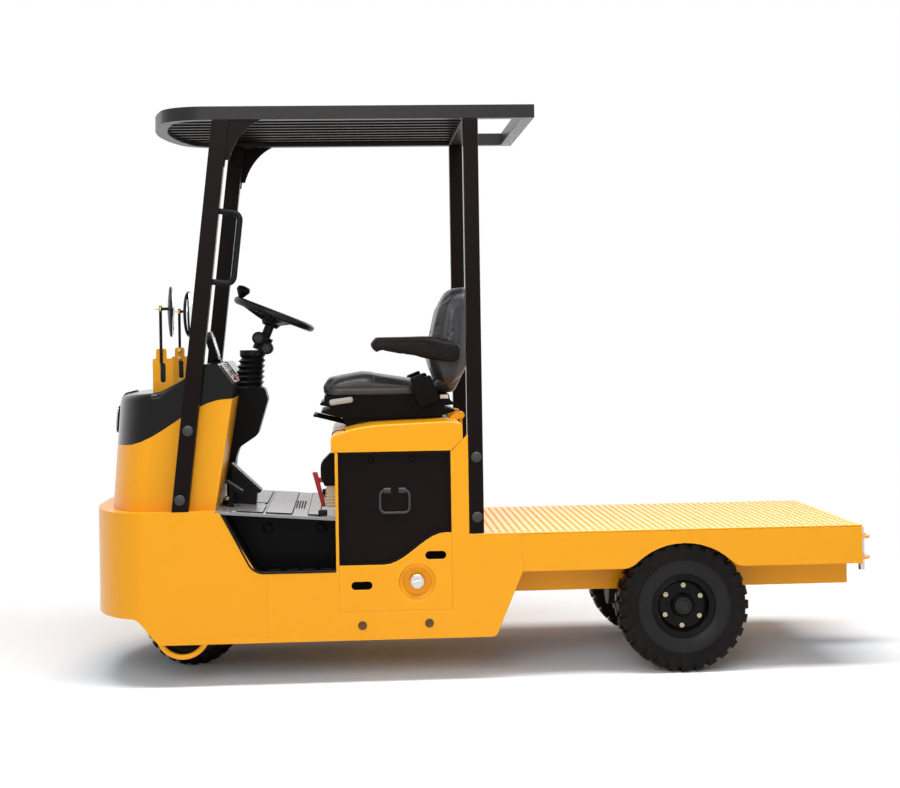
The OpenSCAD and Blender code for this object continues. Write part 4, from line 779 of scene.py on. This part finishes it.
def round_ring(radius, y, thick, sides, steps):
    """A ring of round section about the wheel axis."""
    turns = [2 * math.pi * k / sides for k in range(sides)]
    section = [(radius + thick * math.cos(a), y + thick * math.sin(a)) for a in turns]
    return turned("round_ring", section, steps)


def on_rear_wheels(name, mesh, slot, finish_name):
    """The same fitting on both rear wheels, turned about for the right one."""
    for side, sign in sides:
        copy = mesh.copy()
        if sign < 0:
            copy.transform(Matrix.Rotation(math.pi, 4, "Z"))
        moved(copy, centre("rear_tyre_" + side))
        fitting(name + side, copy, slot, finish_name, "rear_wheel_" + side)


on_rear_wheels("wheel_nuts_", bolt_circle(nut, 82.0, -2.8), "bright_steel", "zinc")
turned_rings = [round_ring(*size, 8, 72) for size in rim_rings]
on_rear_wheels("rim_rings_", joined("rim_rings", turned_rings + [bolt_circle(hub_bolt, 57.5, 24.0)]),
               "dark_paint", "rim_paint")

# %% Caps, plugs and buttons
cap = lathe("cap", [(0, -1), (21, -1), (21.2, 3), (19, 6), (12, 8.5), (0, 9.5)], 28)
plug = lathe("plug", [(0, -1), (18, -1), (18, 1.2), (16.5, 2.2), (14.5, 1.2), (0, 1.6)], 28)
button = lathe("button", [(0, -1), (23, -1), (23, 2), (21, 4), (18, 3), (8, 6), (0, 6.5)], 28)
side_y, liner_y = 550.0, 359.0
post_bolts = ((-33, 1023), (3, 748), (-1181, 896), (-1181, 655))
studs = (("post_caps", post_bolts, side_y, cap, "black_rubber", "cap_rubber"),
         ("sill_plugs", ((-714, 231), (-982, 234)), side_y, plug, "cast_metal", "plug_brown"),
         ("liner_buttons", ((-334, 611), (-556, 610)), liner_y, button, "black_plastic", "black_plastic"))
for name, places, y, unit, slot, finish_name in studs:
    spots = [(at(x, sign * y, z), (0.0, sign, 0.0)) for side, sign in sides for x, z in places]
    fitting(name, set_on(spots, unit), slot, finish_name)
    print(name, len(spots))

# %% [markdown]
# ## Tread plate of the deck
#
# The deck is chequered plate: short lens-shaped bars in two directions, painted with the sheet. One bar
# is drawn and the grid tree lays some two thousand of them.

# %% Tread bars


def bar_mesh(long, wide, high):
    work = bmesh.new()
    rim = [(-long, 0), (-long / 2, -wide), (long / 2, -wide), (long, 0), (long / 2, wide), (-long / 2, wide)]
    low = [work.verts.new(mm(x, y, -0.5)) for x, y in rim]
    top = [work.verts.new(mm(x * 0.6, y * 0.45, high)) for x, y in rim]
    for k in range(6):
        work.faces.new([low[k], low[(k + 1) % 6], top[(k + 1) % 6], top[k]])
    work.faces.new(top)
    return to_mesh(work, "bar", 20.0)


low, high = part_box("deck_plate")
margin = 0.030
mesh = grown(bars, Unit=unit_of(bar_mesh(12.5, 3.4, 1.6)), Length=high.x - low.x - 2 * margin,
             Width=high.y - low.y - 2 * margin, Pitch=0.029)
fitting("deck_tread", moved(mesh, Vector(((low.x + high.x) / 2, 0.0, high.z))), "yellow_paint")
print("tread bars", len(mesh.polygons), "faces")

# %% [markdown]
# ## Step and floor
#
# A black bead runs round the step opening, raised pads keep the foot from slipping, and the floor mat has
# wide flat pads, with painted shade as dark lines round them, and one rough strip. The bead and the shade
# lines follow a path, so they are swept; the pads are plates with rounded edges; the rough strip is the bar
# grid again at a smaller size. The floor falls a little to the rear, so its pads lie on a tilted frame.

# %% Step bead, step pads and floor pads
fall = 33.0 / 480.0
floor_up, flat, leftward = (-fall, 0.0, 1.0), (0, 0, 1), (0, 1, 0)
pad_rows = [(-366 - 70 * column, 410 + 86 * row) for column in range(4) for row in range(2)]
floor_tiles = ((215, 322, 212, 504), (215, 322, -504, 92), (335, 438, -504, 504), (503, 549, -504, 504))


def on_floor(x, y):
    return at(x, y, 700.0 + (x + 133.0) * fall)


for side, sign in sides:
    path = [at(x, sign * 547, z) for x, z in ((-163, 683), (-283, 451), (-611, 451))]
    fitting("step_bead_" + side, rod(path, 5, 64), "black_rubber")
    pads = [soft_plate(62, 76, 10, 4, 1.2, facing(at(x, sign * y, 446), flat, leftward)) for x, y in pad_rows]
    fitting("step_pads_" + side, pads, "black_rubber", "cover_plastic")
    stop = facing(on_floor(-562, sign * 506), flat, leftward)
    fitting("mat_stop_" + side, soft_plate(36, 44, 7, 22, 3, stop), "black_rubber")
tiles, edge_shade_lines = [], []
for near, far, inner, outer in floor_tiles:
    spot = facing(on_floor(-(near + far) / 2, (inner + outer) / 2), floor_up, leftward)
    outline = soft_rectangle(far - near, outer - inner, 8)
    tiles.append(plate(outline, 3.8, 1.2, spot))
    # Painted shade: a dark rod round each pad stands for the shade at its edge.
    around = [spot @ mm(x, y, 0.8) for x, y in outline]
    edge_shade_lines.append(rod(around, 2.4, sides=8, closed=True))
even_normals(fitting("floor_pads", tiles, "black_rubber", "mat_rubber"))
fitting("floor_lines", edge_shade_lines, "black_rubber", "deep_black")
print("step and floor: pads", len(pad_rows) * 2 + len(tiles))

# %% Rough strip of the mat
mesh = grown(bars, Unit=unit_of(bar_mesh(4.4, 1.3, 1.6)), Length=0.044, Width=0.300, Pitch=0.009)
mesh.transform(facing(on_floor(-458, 64), floor_up, leftward))
fitting("mat_strip", mesh, "black_rubber", "cap_rubber")
print("rough strip", len(mesh.polygons), "faces")

# %% [markdown]
# ## Pedals and battery plug
#
# The pedals are black and the foot switch beside them has a plated dome. The plug is one solid in the
# frame but three materials on the machine, a black housing, a cream ribbed socket and a red pull: its
# faces are told apart by where they are.

# %% Pedals and battery plug
soften("pedals", 2)
foot = on_floor(-163, 226)
boot = lathe("boot", [(0, -1), (25.5, -1), (26, 6), (22.5, 11), (19, 12), (18.5, 18), (0, 18)], 32)
dome = lathe("dome", [(0, 16), (16.5, 16), (20, 20), (20.5, 24), (18, 30), (11, 34.5), (0, 36)], 32)
fitting("switch_boot", moved(boot, foot), "black_rubber")
fitting("switch_dome", moved(dome, foot), "bright_steel")
plug_x, plug_y, plug_z = -613.0, 330.0, 779.0


def housing(x, y, z):
    return z > plug_z - 1 and (x < plug_x + 62 and abs(y - plug_y) > 11 or x < plug_x + 38)


def socket(x, y, z):
    return z < plug_z and x < plug_x + 38


connector = soften("battery_connector", 3, material="red_plastic")
repaint(connector, "black_plastic", housing)
repaint(connector, "cream_plastic", socket)
rib = soft_plate(42, 66, 6, 6, 1.5, Matrix.Identity(4))
ribs = [(at(plug_x + 20, plug_y, plug_z - 84 + 13 * k), flat) for k in range(6)]
fitting("socket_ribs", smoothed(set_on(ribs, rib)), "red_plastic", "cream_plastic")
blade = ((-41, -87), (-58, -87), (-95, 54), (-74, 54))
pull = plate(blade, 23, 4, facing(at(plug_x, plug_y - 11.5, plug_z), leftward, flat))
even_normals(fitting("plug_pull", pull, "red_plastic"))
print("pedals and plug with", len(ribs), "ribs")

# %% [markdown]
# ## Panel fittings
#
# The lift-out side panel has two round holes and a wire bail held by two clips; the yellow panel under it
# has two slots and a plated turn lock in its dish. A bent wire lies on the front corner of the hood.

# %% Panel holes, bail clips, turn lock, slots and hood wire
# Painted shade: dark discs in the round holes and dark plates in the slots stand for the shade inside them.
hole = lathe("hole", [(0, -1), (13.5, -1), (13.5, 1.4), (11.2, 1.8), (10.2, -0.4), (0, -0.4)], 24)
knob = lathe("knob", [(0, 0), (29, 0), (29.5, 3), (26.5, 6.2), (20, 5.2), (8, 7.2), (0, 7.5)], 36)


# Faces of the wire bail, which get the painted highlight.
def bail_highlight_faces(x, y, z):
    return abs(x + 851) < 72 and 655 < z < 790 and abs(y) > 537.6


holes, slot_shades = [], []
for side, sign in sides:
    out = (0.0, sign, 0.0)
    holes += [(at(x, sign * 536, 893), out) for x in (-758, -924)]
    ends = [[at(x + off, sign * 540, 771) for off in (-14, 14)] for x in (-821, -881)]
    # Painted highlight: the clips and the bail take a lighter grey than the panel, standing in for the light
    # along the wire.
    clips = [rod(pair, 8.5, sides=16) for pair in ends]
    fitting("bail_clips_" + side, clips, "black_plastic", "cap_rubber")
    repaint(bpy.data.objects["side_panel_" + side + "_shape"], "cap_rubber", bail_highlight_faces)
    dish = facing(at(-936, sign * 542, 400), out, (0.26 * sign, 0.0, 0.97))
    lock = knob.copy()
    lock.transform(dish)
    fitting("turn_lock_" + side, [lock, soft_plate(44, 13, 6, 12, 2, dish)], "bright_steel")
    for x, z in ((-714, 390), (-1012, 506)):
        slot_shades.append(soft_plate(83.2, 32.2, 16, 2, 0.4, facing(at(x, sign * 543.5, z), out, flat)))
fitting("panel_holes", set_on(holes, hole), "black_plastic", "deep_black")
fitting("slot_inserts", slot_shades, "black_plastic", "deep_black")
wire = [at(x, 494, z) for x, z in ((-604, 993), (-606, 1001), (-622, 1009), (-654, 1015), (-656, 1008))]
fitting("hood_wire", rod(wire, 2.2, 4, 8), "dark_paint", body="seat_hood")
print(len(holes), "holes,", len(slot_shades), "slots, 4 clips, 2 locks")

# %% [markdown]
# ## Dash, lamp and mirrors
#
# The lamp is a lens in a plated frame that leans with the cover. The instrument panel lies on the slope
# towards the driver: dark glass in light frames with a row of rocker switches. The mirrors get convex
# glass, and each stalk has a brass cross rod with its collar and two nuts on the bracket.

# %% Front lamp


def framed(wide, tall, radius, thick, place, lift):
    """A round bar about a soft rectangle on a frame."""
    outline = soft_rectangle(wide, tall, radius, 6)
    return rod([place @ mm(x, y, lift) for x, y in outline], thick, sides=10, closed=True)


cover_lean = math.atan(38.0 / 462.0)
front = Vector((math.cos(cover_lean), 0.0, math.sin(cover_lean)))
lamp_face = facing(centre("front_lamp") + front * 0.008, front, flat)
fitting("lamp_lens", soft_plate(166, 92, 18, 4, 1.5, lamp_face), "black_plastic", "lamp_lens")
fitting("lamp_frame", framed(174, 100, 22, 4.5, lamp_face, 1), "bright_steel")
print("lamp leans", round(math.degrees(cover_lean), 1), "degrees")

# %% Instruments and display
slope = Vector((64.0, 0.0, 87.0)).normalized()
driver = Vector((-slope.z, 0.0, slope.x))
board = facing(at(-182, 260, 1243.5), driver, slope)
fitting("instrument_glass", soft_plate(300, 86, 14, 6, 2, board), "black_plastic", "dark_glass")
frames = [framed(300, 86, 14, 4.2, board, 5)]
frames += [framed(wide, 58, 10, 2.6, shifted(board, middle, 6), 6) for middle, wide in ((-85, 110), (62, 90))]
fitting("instrument_frames", frames, "bright_steel", "grey_plastic")
rocker = soft_rectangle(16, 24, 3)
switches = [plate(rocker, 12, 2, shifted(board, x, -2)) for x in (-12, 124)]
fitting("rocker_switches", switches, "black_plastic")
fitting("stop_switch", plate(rocker, 13, 2, shifted(board, -12, -30)), "red_plastic")
tilt = math.radians(16.0)
pod_out, pod_up = (-math.cos(tilt), 0.0, math.sin(tilt)), (math.sin(tilt), 0.0, math.cos(tilt))
pod = facing(at(-118.1, 150, 1359.8), pod_out, pod_up)
fitting("display_glass", soft_plate(124, 94, 16, 2.5, 0.8, pod), "black_plastic", "dark_glass")
print("instruments face", [round(c, 2) for c in driver])

# %% Mirror glass, cross rods and nuts
glass = lathe("glass", [(0, 0), (94, 0), (95.5, 1.5), (91, 3.6), (60, 6.8), (0, 9)], 48)
collar = lathe("collar", [(0, 0), (7, 0), (7.4, 2), (7.4, 15), (6, 17), (0, 17)], 20)
nut_flat = lathe("nut_flat", [(0, 0), (9.5, 0), (9.5, 6), (7.8, 8), (5, 8), (4.5, 12), (0, 12.5)], 6)
toe_in = math.radians(6.0)
stalk_y = 399.3
glasses, rods, nuts, bracket_slot_shades = [], [], [], []
for side, sign in sides:
    look = Vector((-math.cos(toe_in), -sign * math.sin(toe_in), 0.0))
    disc = glass.copy()
    disc.transform(facing(at(46.5, sign * stalk_y, 1500) + 0.0118 * look, look, flat))
    glasses.append(disc)
    rods.append(rod([at(x, sign * stalk_y, 1512) for x in (56, 106)], 2.4, sides=10))
    rods.append(moved(collar.copy(), at(82.5, sign * stalk_y, 1503)))
    # Painted shade: a dark plate in each bracket slot stands for the shade seen through it.
    shade_frame = facing(at(76.5, sign * 389.8 - 1.5, 1253), leftward, flat)
    bracket_slot_shades.append(soft_plate(20.4, 80.4, 10, 3, 0.6, shade_frame))
    nuts += [(at(82.5, sign * 386.8, z), (0.0, -sign, 0.0)) for z in (1304, 1338)]
fitting("mirror_glass", glasses, "bright_steel", "mirror_glass")
fitting("mirror_rods", rods, "bright_steel", "brass")
fitting("mirror_strips", bracket_slot_shades, "black_rubber")
fitting("mirror_nuts", set_on(nuts, nut_flat), "bright_steel", "brass")
print(len(glasses), "mirrors,", len(nuts), "nuts")

# %% [markdown]
# ## Hand wheel and tilt head
#
# The rim of the hand wheel has a thick soft grip, and the two clamp drums of the tilt head are held by
# flanged bolts.

# %% Wheel grip and bolts of the tilt head
column_lean = math.radians(22.0)
spindle = Vector((-math.sin(column_lean), 0.0, math.cos(column_lean)))
wheel_plane = facing(at(-345, 0, 1455) + 0.037 * spindle, spindle, leftward)
grip = round_ring(166, 0, 16.2, 12, 96)
grip.transform(wheel_plane @ Matrix.Rotation(math.pi / 2, 4, "X"))
fitting("wheel_grip", grip, "black_plastic", "bellows_rubber", "hand_wheel")
head_bolt = lathe("head_bolt", [(0, -0.5), (20.5, -0.5), (21.2, 1.2), (19.5, 2.8), (15, 2), (12.5, 2),
                                (12.2, 8.8), (10, 10.2), (0, 10.4)], 6)
drums = ((-292, 55, 1388), (-326, 45, 1344))
spots = [(at(x, sign * y, z), (0.0, sign, 0.0)) for x, y, z in drums for side, sign in sides]
fitting("head_bolts", set_on(spots, head_bolt), "black_plastic", "cap_rubber")
print(len(spots), "bolts on the tilt head")

# %% [markdown]
# ## Weld beads of the guard
#
# The gussets are welded to the front posts, and the weld shows as a row of small overlapping scales. A
# flat dome is set again and again along the joint by the same tree that sets the caps.

# %% Weld beads
scale = lathe("scale", [(0, -1), (5.2, -1), (4.6, 1.2), (2.6, 2.6), (0, 3)], 10)
post_lean = 183.0 / 1559.0
beads = []
for side, sign in sides:
    for k in range(28):
        z = 2252 - 6.5 * k
        beads.append((at(-30 - (z - 700) * post_lean, sign * 546.5, z), (-0.5, sign * 0.87, 0.0)))
fitting("weld_beads", smoothed(set_on(beads, scale), 60.0), "dark_paint")
print(len(beads), "weld scales")

# %% [markdown]
# ## Seat cushions
#
# Foam under vinyl: the form swells between its seams, is rounded where the cover is pulled round the
# edge, and is flat only where it rests on the pan. Each cushion starts a little small from its solid, is
# remeshed evenly, and is then inflated as cloth with the movement capped. Seams and the welt come after,
# as lines where the cover is held.

# %% Cushion tools


def remeshed(node, voxel):
    made = bpy.data.objects.new(node, to_mesh(joined_copy(node), node + "_shape"))
    scene.collection.objects.link(made)
    tool = made.modifiers.new("even", "REMESH")
    tool.mode = "VOXEL"
    tool.voxel_size = voxel
    graph = bpy.context.evaluated_depsgraph_get()
    mesh = bpy.data.meshes.new_from_object(made.evaluated_get(graph))
    bpy.data.objects.remove(made)
    return mesh


def vectors_of(mesh, field="co"):
    flat_list = np.empty(len(mesh.vertices) * 3)
    mesh.vertices.foreach_get(field, flat_list)
    return flat_list.reshape(-1, 3)


def set_points(mesh, points):
    mesh.vertices.foreach_set("co", points.ravel())
    mesh.update()


def relaxed(mesh, turns):
    """Points pulled towards their neighbours, to even out the steps of the remesh."""
    edges = np.empty(len(mesh.edges) * 2, int)
    mesh.edges.foreach_get("vertices", edges)
    a, b = edges.reshape(-1, 2).T
    points = vectors_of(mesh)
    count = np.bincount(np.r_[a, b], minlength=len(points))[:, None]
    for _ in range(turns):
        total = np.zeros_like(points)
        np.add.at(total, a, points[b])
        np.add.at(total, b, points[a])
        points = 0.4 * points + 0.6 * total / count
    set_points(mesh, points)


def inflated(mesh, cap):
    """Cloth with pressure, gravity off, movement capped."""
    made = bpy.data.objects.new("pad", mesh)
    scene.collection.objects.link(made)
    before = vectors_of(mesh)
    cloth = made.modifiers.new("cloth", "CLOTH")
    cloth.settings.use_pressure = True
    cloth.settings.uniform_pressure_force = 4.0
    cloth.settings.effector_weights.gravity = 0.0
    cloth.point_cache.frame_start = 1
    cloth.point_cache.frame_end = 20
    for step in range(1, 21):
        scene.frame_set(step)
    graph = bpy.context.evaluated_depsgraph_get()
    move = vectors_of(made.evaluated_get(graph).to_mesh()) - before
    far = np.linalg.norm(move, axis=1, keepdims=True)
    move *= np.minimum(1.0, cap / np.maximum(far, 1e-9))
    bpy.data.objects.remove(made)
    set_points(mesh, before + move)
    scene.frame_set(1)


def settled(mesh, points, cap):
    """The cushion evened out and inflated; gives its points and normals."""
    set_points(mesh, points)
    relaxed(mesh, 3)
    inflated(mesh, cap)
    return vectors_of(mesh), vectors_of(mesh, "normal")


def line(distance, width):
    """1 on a seam, falling off over the width beside it."""
    return np.exp(-(distance / width) ** 2)


def seams_pressed(p, n, seam_y, across, share):
    """Presses two long seams and the cross seam between them into the cover, by its share."""
    seams = line(np.abs(np.abs(p[:, 1]) - seam_y), 0.006)
    cross = line(across, 0.006) * (np.abs(p[:, 1]) < seam_y)
    p -= n * (0.0055 * np.maximum(seams, cross) * share)[:, None]


def rounded_plan(points, axes, half, middle, radius):
    """Square corners of the plan in two axes turned into arcs."""
    away = [np.abs(points[:, axis] - mid) for axis, mid in zip(axes, middle)]
    past = [np.maximum(value - (reach - radius), 0.0) for value, reach in zip(away, half)]
    both = (past[0] > 0) & (past[1] > 0)
    scale = np.ones(len(points))
    scale[both] = np.maximum(*past)[both] / np.hypot(*past)[both]
    for axis, mid, reach, value, d in zip(axes, middle, half, away, past):
        sign = np.sign(points[:, axis] - mid)
        points[:, axis] = mid + sign * np.where(both, (reach - radius) + d * scale, value)
    return points


def cushion_piece(node, mesh, material=None):
    made = piece(node + "_shape", mesh, "seat_hood", "seat_vinyl", [node], material)
    mesh.polygons.foreach_set("use_smooth", [True] * len(mesh.polygons))
    tool = made.modifiers.new("finer", "SUBSURF")
    tool.levels = tool.render_levels = 1
    print(node, len(mesh.polygons), "faces")


# %% Seat cushion
grow_in, puff = 0.005, 0.007
low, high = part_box("seat_cushion")
size = high - low
half_w, mid_x = size.y / 2, (low.x + high.x) / 2
mesh = remeshed("seat_cushion", 0.006)
p = vectors_of(mesh)
edge = np.clip((np.abs(p[:, 1]) - (half_w - 0.075)) / 0.075, 0.0, 1.0)
p[:, 2] = low.z + (p[:, 2] - low.z) * np.sqrt(1.0 - 0.62 * edge ** 2)
p = rounded_plan(p, (0, 1), (size.x / 2, half_w), (mid_x, 0.0), 0.075)
p[:, 0] += grow_in * np.where(p[:, 0] > mid_x, -1.0, 1.0)
p[:, 1] *= 1.0 - grow_in / half_w
p[:, 2] = low.z + (p[:, 2] - low.z) * 0.95
p, n = settled(mesh, p, puff)
up = np.clip(n[:, 2], 0.0, 1.0)
seams_pressed(p, n, 0.145, p[:, 0] - (low.x + 0.62 * size.x), up)
welt = line(p[:, 2] - (low.z + 0.030), 0.005) * (1.0 - up)
p -= n * (0.0025 * welt)[:, None]
p[:, 2] = np.maximum(p[:, 2], low.z)
set_points(mesh, p)
cushion_piece("seat_cushion", mesh)

# %% Backrest
low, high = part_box("seat_backrest")
size = high - low
half_w = size.y / 2
mesh = remeshed("seat_backrest", 0.006)
p = vectors_of(mesh)
bins = np.clip(((p[:, 2] - low.z) / 0.01).astype(int), 0, 200)
foremost, rearmost = np.full(201, -9.0), np.full(201, 9.0)
np.maximum.at(foremost, bins, p[:, 0])
np.minimum.at(rearmost, bins, p[:, 0])
middle = ((foremost + rearmost) / 2)[bins]
edge = np.clip((np.abs(p[:, 1]) - (half_w - 0.070)) / 0.070, 0.0, 1.0)
p[:, 0] = middle + (p[:, 0] - middle) * np.sqrt(1.0 - 0.70 * edge ** 2)
p = rounded_plan(p, (1, 2), (half_w, size.z / 2), (0.0, (low.z + high.z) / 2), 0.095)
p[:, 1] *= 1.0 - grow_in / half_w
p[:, 2] = low.z + 0.003 + (p[:, 2] - low.z) * 0.975
p, n = settled(mesh, p, puff)
seams_pressed(p, n, 0.135, p[:, 2] - (low.z + 0.56 * size.z), np.clip(n[:, 0], 0.0, 1.0))
p[:, 2] = np.maximum(p[:, 2], low.z)
set_points(mesh, p)
cushion_piece("seat_backrest", mesh)

# %% Armrests
low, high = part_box("armrests")
mesh = remeshed("armrests", 0.005)
p = vectors_of(mesh)
arm_w = high.y - 0.235
arm_mid = np.sign(p[:, 1]) * (high.y - arm_w / 2)
off = (p[:, 1] - arm_mid) / (arm_w / 2)
p[:, 2] -= 0.030 * np.clip(np.abs(off) - 0.45, 0.0, 1.0) ** 2
p[:, 1] = arm_mid + (p[:, 1] - arm_mid) * 0.94
p, n = settled(mesh, p, 0.005)
crease = [at(x, 0, z) for x, z in ((-812, 1362), (-990, 1362), (-1024, 1342), (-1072, 1288))]
near = np.full(len(p), 1.0)
for one, two in zip(crease, crease[1:]):
    start = np.array((one.x, one.z))
    run = np.array((two.x, two.z)) - start
    off = p[:, (0, 2)] - start
    share = np.clip(off @ run / (run @ run), 0.0, 1.0)
    near = np.minimum(near, np.linalg.norm(off - share[:, None] * run, axis=1))
p -= n * (0.0035 * line(near, 0.005) * np.abs(n[:, 1]))[:, None]
set_points(mesh, p)
cushion_piece("armrests", mesh, "arm_plastic")

# %% [markdown]
# ## Seat fittings
#
# A grey paddle under the cushion sets the slide, the belt reel has a smaller buckle box beside it, and a
# blank plate sits on the rear of the base. They ride with the hood, because the whole seat lifts with it.

# %% Seat paddle, buckle box and plate
seat = "seat_hood"
rise = math.atan2(13.0, 102.0)
paddle = facing(at(-640, 217, 1119), leftward, (math.sin(rise), 0.0, math.cos(rise)))
fitting("slide_paddle", soft_plate(100, 25, 10, 15, 5, paddle), "bright_steel", "grey_plastic", seat)
fitting("paddle_root", soft_plate(30, 18, 7, 12, 3, shifted(paddle, -48, 0)), "black_plastic", body=seat)
belts = [facing(at(-962, sign * 243, 1207), (0, sign, 0), (0.37, 0.0, 0.93)) for side, sign in sides]
fitting("buckle_boxes", [soft_plate(62, 30, 6, 24, 4, belt) for belt in belts], "black_plastic", body=seat)
tag = facing(at(-1072, 214.6, 1130), leftward, flat)
fitting("blank_plate", soft_plate(34, 16, 2, 2, 0.6, tag), "bright_steel", "blank_plate", seat)
print("seat fittings on the hood")
